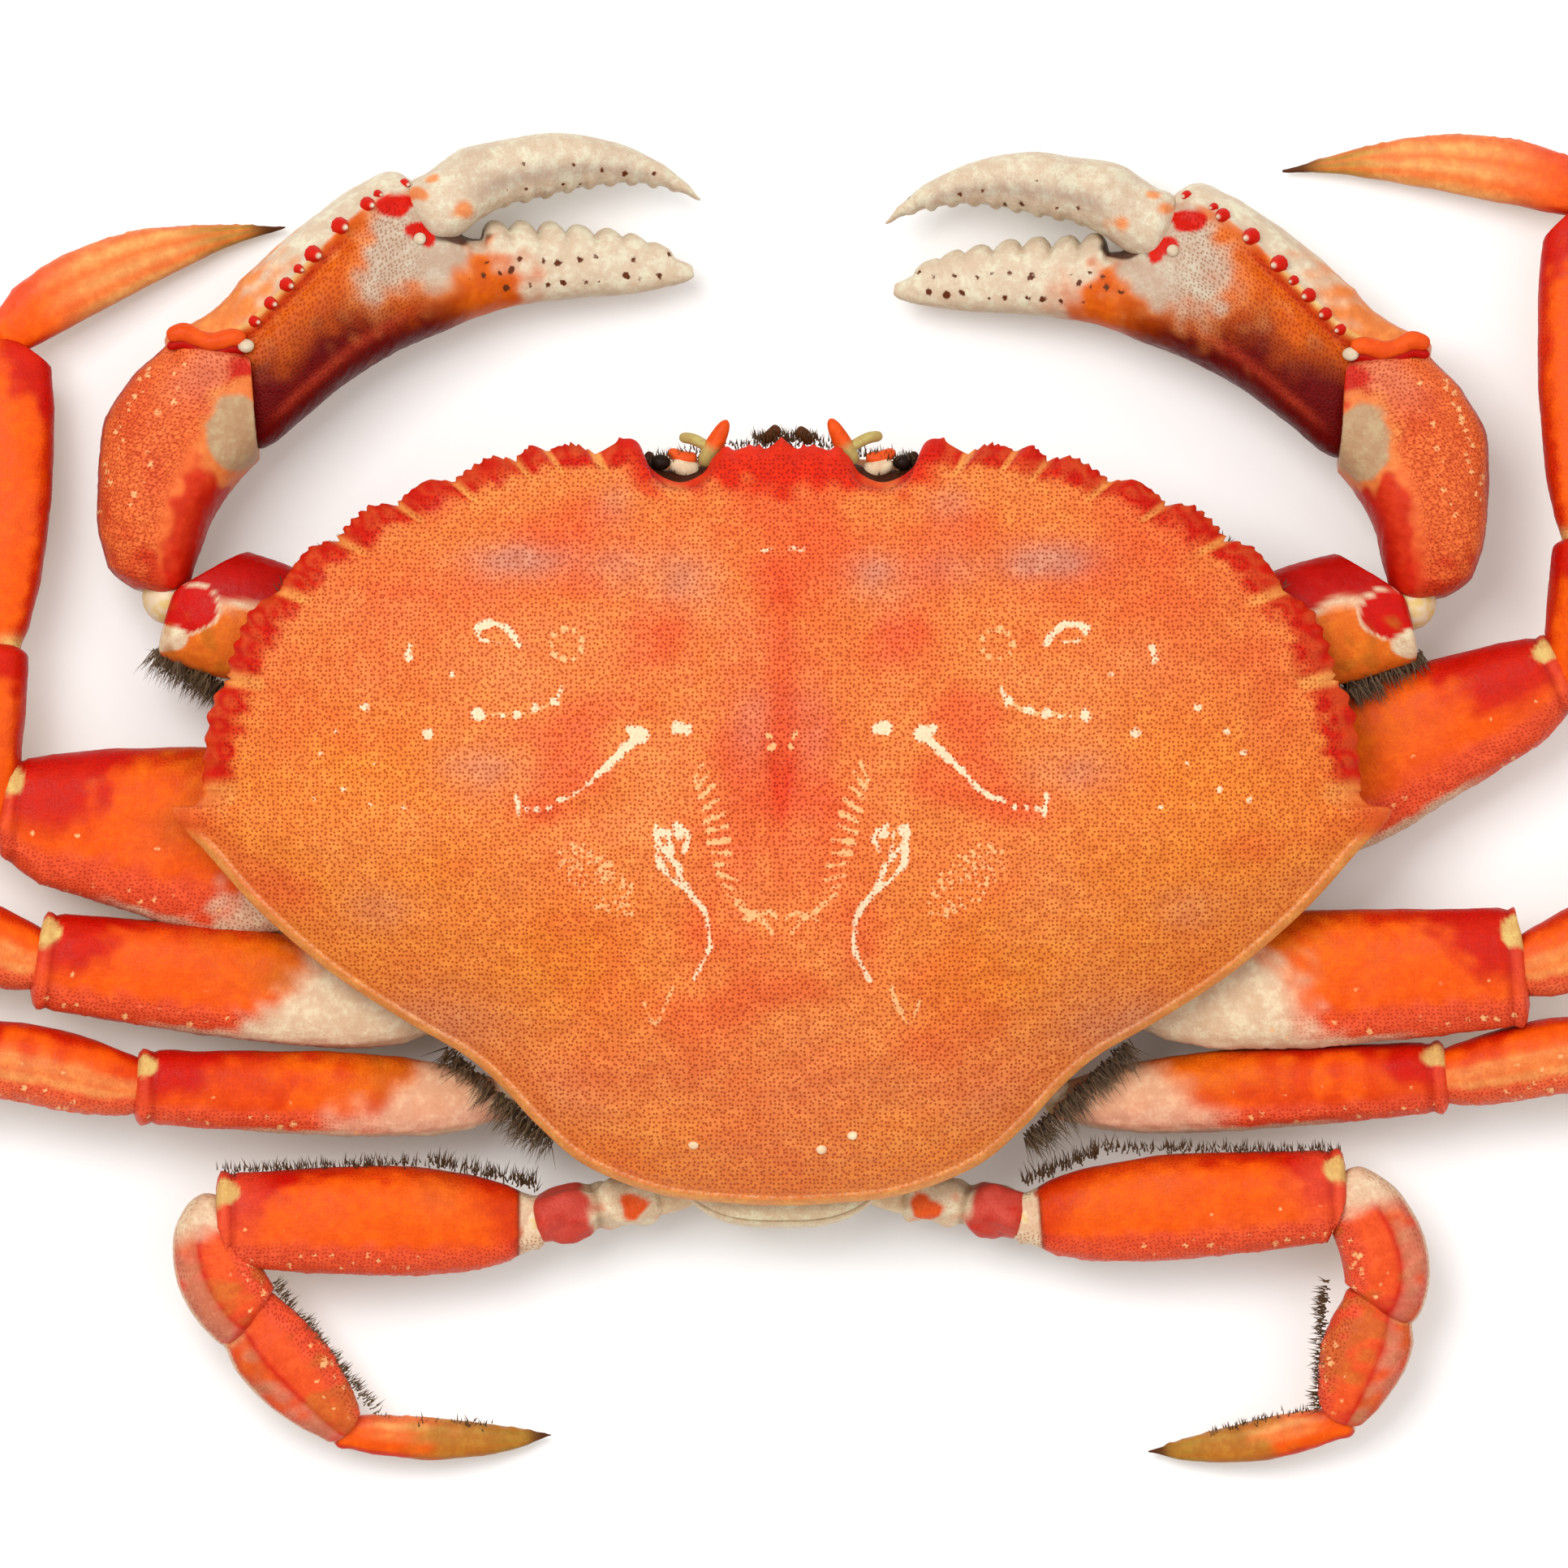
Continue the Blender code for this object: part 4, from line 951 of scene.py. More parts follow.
class Limb:
    """A shell piece between two joints: its points, and where each lies along, across and up."""

    def __init__(self, start, end, profile, side, width=1.0, half=1.0, rows=64, cols=64, power=2.4,
                 bend=None, tuck=0.0, edges=None):
        start, end = np.array(start, float), np.array(end, float)
        chord = unit(end - start)
        if bend is not None:
            start = start - unit(np.array(bend[0], float)) * tuck
        length = np.linalg.norm(end - start)
        ends = np.linspace(0.0 if bend else -tuck / length, 1.0, rows)
        table = read_profile(profile, ends)
        front, back, top, bottom = (table[:, k] for k in range(4))
        front, back = front * width, back * width
        if edges:
            extra_front, extra_back = edges(ends)
            front, back = front + extra_front, back + extra_back
        angles = TURN * np.arange(cols) / cols
        u, v = superellipse(angles, power)
        self.u, self.v = np.broadcast_to(u, (rows, cols)), np.broadcast_to(v, (rows, cols))
        self.t = np.broadcast_to(ends[:, None], (rows, cols))
        share = ends[:, None]
        if bend is None:
            axis = mix(start, end, share)
            along = np.broadcast_to(chord, axis.shape)
        else:
            first, last = (unit(np.array(way, float)) * length for way in bend)
            square, cube = share**2, share**3
            axis = (2 * cube - 3 * square + 1) * start + (cube - 2 * square + share) * first
            axis = axis + (3 * square - 2 * cube) * end + (cube - square) * last
            slope = (6 * square - 6 * share) * (start - end)
            slope = slope + (3 * square - 4 * share + 1) * first + (3 * square - 2 * share) * last
            along = unit(slope)
        across = unit(np.cross(UP, along)) * side
        over = np.cross(along, across) * side
        self.reach = ((front + back) / 2.0)[:, None] + self.u * ((front - back) / 2.0)[:, None]
        rise = np.where(self.v > 0, top[:, None], bottom[:, None]) * half * self.v
        self.across, self.over = across[:, None], over[:, None]
        self.points = axis[:, None] + self.across * self.reach[..., None] + self.over * rise[..., None]
        self.length, self.chord, self.width = length, chord, float((front - back).max())
        arcs = np.linalg.norm(np.roll(self.points, -1, axis=1) - self.points, axis=-1)
        self.spread = np.stack([self.t * length, np.cumsum(arcs, axis=1)], -1)

    def out(self):
        """Outward directions, near enough for relief."""
        return unit(self.across * self.u[..., None] + self.over * self.v[..., None])

    def swell(self, amount):
        self.points = self.points + self.out() * np.asarray(amount)[..., None]

    def cut(self, joint, way, along=None):
        """Moves what lies past a plane through joint back to it, along the piece. way points outward."""
        way = unit(np.array(way, float))
        along = self.chord if along is None else unit(np.array(along, float))
        past = np.maximum((self.points - np.array(joint, float)) @ way, 0.0)
        self.points = self.points - along * (past / (along @ way))[..., None]

    def round_ends(self, first=1.2, last=1.2):
        """Draws the rows near each end in, so that the rims are rounded."""
        for share, near in ((first, self.t - self.t[0, 0]), (last, 1.0 - self.t)):
            pull = np.clip(1.0 - near * self.length / share, 0.0, 1.0)
            centre = self.points.mean(1, keepdims=True)
            self.points = mix(self.points, centre, (0.30 * pull**2)[..., None])

    def mesh(self, name, paint, finish):
        return closed_mesh(name, self.points, {"spread": self.spread, **paint}, finish)

    def spot(self, t, reach):
        """The surface point at a share of the length and a distance across, on the top."""
        near = np.abs(self.t - t) * self.length + np.abs(self.reach - reach) + 100.0 * (self.v < 0)
        row, col = np.unravel_index(np.argmin(near), near.shape)
        return self.points[row, col]


def bend_normal(before, joint, after):
    before, joint, after = (np.array(p, float) for p in (before, joint, after))
    return unit(unit(joint - before) + unit(after - joint))


def rows_of_spots(limb, lines, size, jitter=0.3):
    """Distances to the edges of spots that lie in lines: share along at the start and end, millimetres
    across at both, and how many."""
    best = np.full(limb.t.shape, FAR)
    rng = np.random.default_rng(5)
    for (t0, t1), (r0, r1), count in lines:
        for k in range(count):
            share = k / max(count - 1, 1)
            t = mix(t0, t1, share) + rng.uniform(-0.01, 0.01)
            reach = mix(r0, r1, share) + rng.uniform(-jitter, jitter)
            away = np.hypot((limb.t - t) * limb.length, limb.reach - reach) + FAR * (limb.v < 0)
            best = np.minimum(best, away - size * rng.uniform(0.6, 1.3))
    return best


def leg_grain(limb, number):
    """Large and small blotches over a leg's piece, and its upper side."""
    lumps, fine = ripple(limb.points, 13.0, 11 + number), ripple(limb.points, 3.2, 23 + number)
    return lumps, fine, ramp(-0.35, 0.05, limb.v)


def paint_leg_base(limb, number):
    """Cream, with a seam across it. On the rear legs it is red toward its end."""
    t, u, v = limb.t, limb.u, limb.v
    _, fine, _ = leg_grain(limb, number)
    coat = Coat(LEG_CREAM, limb.points)
    coat.over(LEG_CORAL, 0.4 * ramp(0.2, 1.0, fine))
    coat.over(SEAM_BROWN, 0.6 * bell(t - 0.5, 0.03))
    if number == 4:
        coat.over(LEG_RED, 0.9 * ramp(0.50, 0.60, t + 0.04 * fine) * ramp(-0.4, 0.0, v))
        patch = bell(t - 0.22, 0.20) * bell(u + 0.3, 0.6) + 0.3 * fine
        coat.over(LEG_CORAL, ramp(0.45, 0.75, patch) * ramp(-0.3, 0.1, v))
    return {"tint": coat.colour, "pits": 0.2}


def coat_merus(coat, limb, number, pits):
    """The long piece: gold and olive, cream toward the body, and a groove and a pale knob at its end. Gives
    the pits, fewer where it is cream."""
    t, u = limb.t, limb.u
    lumps, fine, above = leg_grain(limb, number)
    end = (1.0 - t) * limb.length
    gold = ramp(0.72, 0.30, t + 0.10 * fine) * ramp(-0.5, 0.3, u)
    gold = gold * (0.3 if number == 4 else 1.0)
    coat.over(LEG_GOLD, 0.6 * gold)
    coat.over(LEG_OLIVE, 0.45 * gold * ramp(0.3, 1.1, lumps + 0.4 * fine))
    if number in (2, 3):
        short = 0.08 if number == 3 else 0.0
        near = ramp(0.47, 0.33, t + 0.05 * lumps + 0.03 * fine + 0.10 * u + short)
        coat.over(LEG_CREAM, (0.95 if number == 2 else 0.6) * near)
        pits = pits * (1.0 - 0.8 * near)
    if number == 1:
        near = ramp(0.36, 0.24, t + 0.04 * fine + 0.10 * u) * ramp(-0.1, -0.6, u)
        coat.over(LEG_CREAM, 0.8 * near)
    if number == 4:
        root = t * limb.length + 0.3 * fine
        coat.over(LEG_RED, 0.6 * ramp(9.0, 3.0, root - 4.0 * u) * above)
        coat.over(LEG_CREAM, 0.9 * ramp(2.0, 1.5, root))
        coat.over(BROWN, 0.65 * bell(root - 2.1, 0.30) * above)
        coat.over(LEG_PINK, 0.5 * ramp(0.80, 0.90, t) * above)
    groove = bell(end - 2.7, 0.45)
    coat.over(CRACK_RED, 0.6 * groove * above)
    coat.over(LEG_PINK, 0.6 * ramp(2.4, 1.6, end) * above)
    condyle = np.hypot((end - 1.2) / 2.6, (u - 0.60) / 0.34) + 0.12 * fine
    coat.over(LEG_YELLOW, 0.9 * ramp(1.0, 0.75, condyle) * above)
    return pits


def coat_rear_leg(coat, limb, number, part):
    """A red ridge along the rear leg, and lilac, olive and cream in front of it."""
    t, u = limb.t, limb.u
    lumps, fine, above = leg_grain(limb, number)
    coat.over(LEG_PINK, 0.5 * above)
    ridge = bell(u - 0.30, 0.10)
    coat.over(LEG_RED, 0.8 * ridge * above)
    coat.over(OLIVE, 0.35 * ramp(0.2, 1.0, fine + lumps) * above)
    outer = ramp(0.26, 0.46, u) * above
    coat.over(SHELL_LILAC_AND_SHEEN, 0.5 * outer * ramp(-0.8, 0.4, lumps + fine))
    coat.over(LEG_OLIVE, 0.35 * outer * ramp(0.3, -0.6, lumps))
    coat.over(LEG_CREAM, 0.7 * ramp(0.90, 0.97, u) * above)
    if part == "carpus":
        coat.over(LEG_CREAM, 0.9 * ramp(0.30, 0.12, t + 0.04 * fine - 0.1 * u))


def coat_dactyl(coat, limb, number):
    """Tan and olive streaks, brown toward the tip."""
    t, u = limb.t, limb.u
    _, fine, _ = leg_grain(limb, number)
    streak = 0.5 + 0.5 * np.sin(u * 9.0 + 0.5 * fine)
    tan = ramp(0.05, 0.4, t) if number < 4 else 0.8 * ramp(0.0, 0.2, t) * ramp(0.5, -0.3, u)
    coat.over(TAN, tan * (0.4 + 0.6 * streak))
    coat.over(OLIVE, 0.8 * ramp(0.62, 0.80, t) * (0.4 + 0.6 * streak))
    if number == 4:
        coat.over(OLIVE, 0.75 * ramp(0.2, 0.5, t + 0.1 * fine))
    coat.over(BROWN, ramp(0.84, 0.95, t))


def paint_leg(limb, part, number):
    """Colour, pits and spots over a walking leg's piece."""
    if part == "base":
        return paint_leg_base(limb, number)
    t, u, v = limb.t, limb.u, limb.v
    lumps, fine, above = leg_grain(limb, number)
    coat = Coat(LEG_ORANGE, limb.points)
    coat.over(LEG_CORAL, 0.5 * ramp(0.0, 1.0, lumps))
    if number == 3:
        coat.over(LEG_RED, 0.5 * ramp(-0.8, 0.6, fine + lumps))
    if number in (2, 3) and part in ("carpus", "propodus"):
        lines = 0.5 + 0.5 * np.sin(u * 13.0 + 0.3 * fine)
        coat.over(TAN, (0.35 + 0.35 * lines) * ramp(0.45, 0.0, u + 0.1 * fine))
    low = ramp(-0.30, -0.62, u + 0.10 * fine)
    coat.over(LEG_PINK, 0.8 * low * above)
    edges = ramp(0.66, 0.92, u + 0.08 * fine)
    coat.over(LEG_RED, 0.8 * edges * above)
    pits = 0.15 + 0.55 * ramp(-0.40, -0.60, u) * above + 0.4 * edges
    if part in ("merus", "propodus", "carpus"):
        early = 0.12 if number == 1 and part == "merus" else 0.03
        corner = ramp(0.84, 0.95, t + 0.12 * u + 0.04 * fine + early) * ramp(-0.5, 0.1, u)
        coat.over(LEG_RED, 0.92 * corner * above)
    if part == "merus":
        pits = coat_merus(coat, limb, number, pits)
    if part in ("carpus", "propodus"):
        coat.over(LEG_YELLOW, 0.8 * ramp(0.05, 0.0, t) * ramp(0.0, 0.6, u))
    if number == 4 and part in ("carpus", "propodus"):
        coat_rear_leg(coat, limb, number, part)
    if part == "dactyl":
        coat_dactyl(coat, limb, number)
        pits = 0.05
    if part == "merus" and number < 4:
        white = ramp(-0.86, -0.95, u + 0.02 * fine) * ramp(0.75, 0.6, t)
        coat.over(LEG_CREAM, 0.85 * white)
    coat.over(LEG_CREAM, 0.85 * ramp(-0.15, -0.5, v))
    paint = {"tint": coat.colour, "pits": pits}
    if part in ("merus", "carpus", "propodus"):
        low, high = -0.38 * limb.width, -0.10 * limb.width
        lines = [((0.35, 0.96), (low, low + 0.4), 16), ((0.45, 0.9), (high, high), 5)]
        paint["faint"] = rows_of_spots(limb, lines, 0.17, jitter=0.9)
    return paint


def make_leg(name, facts, finish):
    number = int(name[4])
    joints, facings, widths, halves = facts
    side = 1 if joints[0][0] > 0 else -1
    rear = number == 4
    profiles = [
        ("base", BASE, "cream_shell"),
        ("merus", LEG_1_MERUS if number == 1 else MERUS, "red_shell"),
        ("carpus", CARPUS, "red_shell"),
        ("propodus", REAR_PROPODUS if rear else PROPODUS, "red_shell"),
        ("dactyl", REAR_DACTYL if rear else DACTYL, "orange_shell"),
    ]
    widths = (0.5 * widths[0], *widths)
    halves = (0.84 * halves[0], *halves)
    facing = {i: bend_normal(*joints[i - 1 : i + 2]) for i in range(1, 5)}
    facing.update({i: unit(np.array(way, float)) for i, way in facings.items()})
    for i, (part, profile, slot) in enumerate(profiles):
        rows = 96 if part == "merus" else 64
        bend = (facing[2], facing[3]) if part == "carpus" else None
        tuck = 2.0 if i > 0 else 0.0
        size = {"width": widths[i], "half": halves[i], "rows": rows, "power": 2.7}
        limb = Limb(joints[i], joints[i + 1], profile, side, bend=bend, tuck=tuck, **size)
        if part != "carpus":
            if i > 0:
                limb.cut(np.array(joints[i]) - facing[i] * tuck, -facing[i], -limb.chord)
            if i < 4:
                limb.cut(joints[i + 1], facing[i + 1])
        end = (1.0 - limb.t) * limb.length
        if part == "merus":
            limb.swell(0.30 * bell(end - 1.1, 0.8) - 0.35 * bell(end - 2.7, 0.5))
        grains = ramp(-0.35, -0.65, limb.u) * ramp(-0.2, 0.1, limb.v)
        lumps = 0.09 * ripple(limb.points, 6.0, 5 * number + i)
        limb.swell(lumps + (0.03 + 0.11 * grains) * ripple(limb.points, 1.7, i))
        if part == "base":
            limb.swell(0.5 * ripple(limb.points, 4.6, 3 * number) - 0.9 * bell(limb.t - 0.5, 0.07))
        limb.round_ends()
        piece = limb.mesh(f"{name}_{part}_shell", paint_leg(limb, part, number), finish)
        place(piece, slot, f"{name}_{part}")


def ball_mesh(name, centre, radii, tint, finish, rows=14, cols=18):
    """An ellipsoid along the axes."""
    up = np.linspace(-1.35, 1.35, rows)[:, None]
    around = TURN * np.arange(cols)[None, :] / cols
    level = np.cos(up)
    shape = np.stack([level * np.cos(around), level * np.sin(around), np.sin(up) + 0.0 * around], -1)
    return closed_mesh(name, np.array(centre) + shape * np.array(radii), {"tint": tint}, finish)


def make_joint_skin(finish):
    """The pale skin that shows between the shell pieces at each joint."""
    balls = []
    for joints, _, widths, halves in LEGS.values():
        for joint, width, half in zip(joints[1:], widths, halves):
            reach = min(0.27 * width, 3.6)
            balls.append(ball_mesh("skin", joint, (reach, reach, half * 0.62), LEG_YELLOW, finish))
    for joints in CLAWS.values():
        for i, reach in ((1, 6.0), (2, 4.0)):
            balls.append(ball_mesh("skin", joints[i], (reach, reach, 5.0), LEG_YELLOW, finish))
    place(join("joint_skin", balls), "cream_shell")


# Where each limb's first joint meets the body, on the right
SHOULDERS = {
    "claw": (27.0, 14.0, 11.0),
    "leg_1": (31.0, 1.5, 8.6),
    "leg_2": (29.0, -11.0, 8.6),
    "leg_3": (24.0, -27.0, 8.6),
    "leg_4": (10.5, -51.0, 9.4),
}
CLAW_BASE_WIDTH = 12.0


def make_shoulders(finish):
    """The first joints of the limbs, between the body and each limb's base."""
    parts = []
    bases = [(name, facts[0], 0.5 * facts[2][0]) for name, facts in LEGS.items()]
    bases += [(name, joints, CLAW_BASE_WIDTH) for name, joints in CLAWS.items()]
    for name, joints, width in bases:
        root, tip = (np.array(p, float) for p in joints[:2])
        inner = np.array(SHOULDERS[name.rsplit("_", 1)[0]]) * (np.sign(root[0]), 1.0, 1.0)
        outer = root + 0.18 * (tip - root)
        places = [inner, mix(inner, outer, 0.45), outer]
        radii = (0.40 * width, 0.50 * width, 0.44 * width)
        parts.append(tube("shoulder", places, radii, SHOULDER_CREAM, finish))
    place(join("shoulders", parts), "cream_shell")


# The palm's crest: shares along it and millimetres across, with its spines
CREST = [
    (0.00, -1.6), (0.06, -3.4), (0.14, -7.4), (0.21, -11.2), (0.27, -14.4), (0.34, -17.2), (0.40, -18.4),
]
SPINES = [
    (0.06, -3.2, 0.8), (0.10, -5.0, 0.9), (0.139, -7.2, 1.0), (0.17, -9.2, 0.7), (0.206, -11.1, 1.2),
    (0.27, -14.4, 1.2), (0.337, -17.0, 1.0), (0.42, -19.6, 0.7), (0.36, -18.2, 0.6),
]
# Red patches near the hinge, from the hinge outward and forward: middle and half widths
RED_PATCHES = [
    ((6.0, -2.2), (2.6, 1.7)),
    ((2.4, -5.8), (2.2, 1.3)),
    ((1.2, -6.8), (1.0, 1.4)),
    ((3.6, -1.6), (1.8, 0.8)),
]
# Orange stains on the moving finger, in the same way
STAINS = [((2.6, -0.4), (1.4, 1.0)), ((-3.8, -2.8), (1.6, 1.3)), ((0.6, 1.6), (1.2, 0.7))]
# Lines of dark spots on the fixed finger and on the moving one: shares along at both ends, millimetres
# across at both, and how many
PALM_SPOTS = [
    ((0.56, 0.95), (-6.8, -3.4), 11),
    ((0.60, 0.93), (-2.4, -1.2), 9),
    ((0.52, 0.62), (-4.6, -5.0), 4),
]
FINGER_SPOTS = [((0.3, 0.9), (-4.4, -3.4), 7), ((0.25, 0.6), (-0.6, -1.6), 6)]
TOOTH_SHARES = (0.600, 0.655, 0.716, 0.776, 0.836, 0.890, 0.934)


def oval(limb, centre, side, middle, halves):
    """How far out of an oval the points lie in plan, 1 at its edge. Its middle is outward and forward of a
    centre."""
    dx = (limb.points[..., 0] - centre[0]) * side - middle[0]
    dy = limb.points[..., 1] - centre[1] - middle[1]
    return np.hypot(dx / halves[0], dy / halves[1]) + FAR * (limb.v < -0.05)


def finger_teeth(t):
    """Rounded teeth along the biting edge of the fixed finger."""
    bite = np.zeros(t.shape)
    for k, middle in enumerate(TOOTH_SHARES):
        tooth = np.clip(1.0 - ((t - middle) / 0.031) ** 2, 0.0, 1.0) ** 0.6
        bite = np.maximum(bite, (2.7 - 0.20 * k) * tooth)
    return np.zeros(t.shape), -bite


def small_teeth(t):
    """Low teeth along the biting edge of the moving finger."""
    wave = np.clip(np.sin(t * TURN * 12.5), 0.0, 1.0) ** 0.6
    return 0.5 * wave * ramp(0.2, 0.3, t) * ramp(0.97, 0.85, t), np.zeros(t.shape)


def claw_grain(limb):
    """Large and small blotches over a claw's piece, and its upper side."""
    return ripple(limb.points, 11.0, 31), ripple(limb.points, 3.2, 33), ramp(-0.35, 0.05, limb.v)


def paint_claw_base(limb, side, joints):
    """Cream, with coral blotches."""
    _, fine, _ = claw_grain(limb)
    coat = Coat(LEG_CREAM, limb.points)
    coat.over(LEG_CORAL, 0.4 * ramp(0.2, 1.0, fine))
    return coat, {"pits": 0.5}


def paint_claw_merus(limb, side, joints):
    """Red along its front, gold along its rear, with a pale line between and a pale lip at the elbow."""
    u = limb.u
    elbow = joints[2]
    lumps, fine, _ = claw_grain(limb)
    coat = Coat(CLAW_CORAL, limb.points)
    coat.over(LEG_GOLD, 0.7)
    coat.over(CLAW_DARK_RED_AND_SHADOW, ramp(0.12, 0.3, u + 0.10 * lumps))
    line = bell(u - 0.18 + 0.10 * lumps, 0.06)
    coat.over(LEG_CREAM, 0.8 * line)
    plate = oval(limb, elbow, side, (-2.6, -1.6), (4.6, 3.4)) + 0.06 * fine
    coat.over(LEG_CREAM, 0.8 * ramp(1.16, 1.10, plate))
    coat.over(LEG_RED, ramp(1.06, 0.98, plate))
    lip = oval(limb, elbow, side, (0.4, -6.0), (3.0, 2.0)) + 0.1 * fine
    coat.over(LEG_CREAM, ramp(1.1, 0.9, lip))
    coat.over(LEG_OLIVE, 0.5 * ramp(0.2, 0.9, fine) * ramp(0.1, -0.3, u))
    return coat, {"pits": 0.15}


def paint_claw_carpus(limb, side, joints):
    """Coral and red, with a brown patch at the wrist, fine cracks and rows of pale spots."""
    t, u = limb.t, limb.u
    wrist = joints[3]
    lumps, fine, above = claw_grain(limb)
    coat = Coat(CLAW_CORAL, limb.points)
    coat.over(LEG_RED, 0.30 * ramp(0.0, 1.0, lumps))
    inner = ramp(0.22, 0.48, u + 0.10 * fine)
    coat.over(LEG_RED, 0.8 * inner * ramp(0.80, 0.60, t) * above)
    coat.over(CLAW_DARK_RED_AND_SHADOW, 0.8 * ramp(0.6, 0.9, u + 0.05 * fine) * ramp(0.6, 0.4, t))
    coat.over(SHELL_LILAC_AND_SHEEN, 0.35 * ramp(0.66, 0.88, t) * ramp(0.7, 0.2, np.abs(u + 0.1)))
    corner = oval(limb, wrist, side, (-2.4, -5.0), (2.4, 4.4)) + 0.14 * fine
    coat.over(LEG_RED, 0.9 * ramp(1.1, 0.8, corner))
    patch = oval(limb, wrist, side, (-1.6, -12.0), (4.2, 5.6)) + 0.05 * fine + 0.05 * lumps
    coat.over(CREST_ORANGE, 0.8 * ramp(1.5, 1.15, patch + 0.2 * fine))
    coat.over(CLAW_PATCH, ramp(1.08, 0.90, patch))
    coat.over(LEG_RED, 0.7 * ramp(0.2, 0.0, t + 0.1 * fine))
    plain = ramp(1.0, 1.3, patch)
    net = 0.42 * ramp(0.35, 0.0, u) * ramp(0.9, 0.6, t)
    pits = 0.8 * ramp(0.35, 0.05, u) * plain
    coat.over(CRACK_RED, 0.8 * ramp(-0.93, -0.98, u))
    lines = [((0.25, 0.92), (-13.0, -10.4), 22), ((0.3, 0.9), (-8.0, -5.6), 12)]
    return coat, {"net": net, "pits": pits, "faint": rows_of_spots(limb, lines, 0.2, jitter=0.8)}


def paint_claw_palm(limb, side, joints):
    """Orange over maroon, a pale patch at the hinge, a pale crest and a cream fixed finger, with a painted
    sheen, a painted shadow beside the crest and painted shade in the hinge gap.
    """
    t, u, reach = limb.t, limb.u, limb.reach
    hinge = joints[5]
    lumps, fine, above = claw_grain(limb)
    ridge = np.interp(t, *zip(*CREST))
    coat = Coat(CLAW_ORANGE, limb.points)
    coat.over(CREST_ORANGE, 0.5 * ramp(0.2, 1.0, fine))
    low = (reach - ridge) / np.maximum(limb.reach.max(1, keepdims=True) - ridge, 1.0)
    dark = ramp(0.20, 0.78, low + 1.1 * (0.24 - t) + 0.10 * lumps + 0.06 * fine) * ramp(0.60, 0.42, t)
    coat.over(CLAW_MAROON, dark)
    shine = bell(low - 0.80, 0.05) * ramp(0.04, 0.12, t) * ramp(0.5, 0.3, t)
    coat.over(LEG_PINK, 0.30 * shine * above)
    white = bell(t - 0.43, 0.15) * bell(low - 0.34, 0.42)
    coat.over(CREST_ORANGE, 0.5 * ramp(0.14, 0.40, white + 0.10 * lumps + 0.10 * fine))
    coat.over(CLAW_LILAC, ramp(0.30, 0.66, white + 0.12 * lumps + 0.10 * fine))
    crest = ramp(0.3, -0.4, reach - ridge) * ramp(0.47, 0.43, t)
    band = Coat(CREST_ORANGE, limb.points)
    band.over(CLAW_CREAM, ramp(0.02, 0.20, t + 0.05 * fine))
    coat.over(band.colour, crest)
    line = bell(reach - ridge, 0.45) * ramp(0.24, 0.20, t) * above
    coat.over(LEG_YELLOW, 0.8 * line)
    shadow = bell(reach - ridge - 1.3, 0.6) * ramp(0.30, 0.24, t) * above
    coat.over(CLAW_DARK_RED_AND_SHADOW, 0.7 * shadow)
    finger = ramp(0.50, 0.57, t + 0.03 * fine - 0.08 * ramp(0.2, 0.9, low))
    coat.over(CLAW_CREAM, finger)
    warm = ramp(0.70, 0.58, t + 0.03 * fine) * ramp(0.50, 0.54, t) * ramp(-0.3, 0.4, u + 0.4 * lumps)
    coat.over(CLAW_ORANGE, 0.85 * warm)
    # Painted shade in the gap at the moving finger's hinge
    groove = oval(limb, hinge, side, (-3.0, -6.0), (4.6, 1.7)) + 0.2 * fine
    coat.over(SOCKET_SHADE, 0.9 * ramp(1.0, 0.7, groove))
    for middle, halves in RED_PATCHES:
        coat.over(SPINE_RED, ramp(1.1, 0.85, oval(limb, hinge, side, middle, halves) + 0.12 * fine))
    coat.over(CREST_ORANGE, 0.9 * ramp(0.0, -0.04, t) * above)
    pits = 0.7 * ramp(0.48, 0.36, t) * ramp(0.5, 1.5, reach - ridge)
    return coat, {"pits": pits, "spots": rows_of_spots(limb, PALM_SPOTS, 0.34)}


def paint_claw_finger(limb, side, joints):
    """Cream, with a grey groove, orange stains and dark spots."""
    t, u = limb.t, limb.u
    hinge = joints[5]
    lumps, fine, above = claw_grain(limb)
    coat = Coat(CLAW_CREAM, limb.points)
    groove = bell(u - 0.25 - 0.3 * (t - 0.3), 0.30) * ramp(0.05, 0.2, t) * ramp(0.95, 0.7, t)
    coat.over(CLAW_GREY, 0.7 * groove * above)
    coat.over(CLAW_LILAC, 0.4 * ramp(0.0, 1.0, lumps))
    for middle, halves in STAINS:
        stain = oval(limb, hinge, side, middle, halves) + 0.45 * fine
        coat.over(CREST_ORANGE, 0.9 * ramp(1.4, 0.4, stain))
    return coat, {"pits": 0.12, "spots": rows_of_spots(limb, FINGER_SPOTS, 0.22)}


CLAW_PAINTERS = {
    "base": paint_claw_base,
    "merus": paint_claw_merus,
    "carpus": paint_claw_carpus,
    "palm": paint_claw_palm,
    "finger": paint_claw_finger,
}


def paint_claw(limb, part, side, joints):
    """Colour, pits, cracks and spots over a claw's piece, cream underneath."""
    coat, paint = CLAW_PAINTERS[part](limb, side, joints)
    coat.over(CLAW_CREAM, 0.85 * ramp(-0.2, -0.7, limb.v))
    return {"tint": coat.colour, **paint}


# Directions that no spine, rod or hair follows, to turn their rings by
OFF_SPINES = (0.30, 0.50, 0.81)
OFF_RODS = (0.12, 0.07, 0.99)
OFF_HAIRS = (0.31, 0.42, 0.85)


def cone_points(root, tip, radius, rows=8, cols=10):
    """Rings of a spine with a rounded tip."""
    root, tip = np.array(root, float), np.array(tip, float)
    along = unit(tip - root)
    aside = unit(np.cross(along, OFF_SPINES))
    other = np.cross(along, aside)
    share = np.linspace(0.0, 1.0, rows)[:, None, None]
    around = (TURN * np.arange(cols) / cols)[None, :, None]
    wide = radius * (1.0 - share**1.6) + 0.02
    return root + (tip - root) * share + wide * (np.cos(around) * aside + np.sin(around) * other)


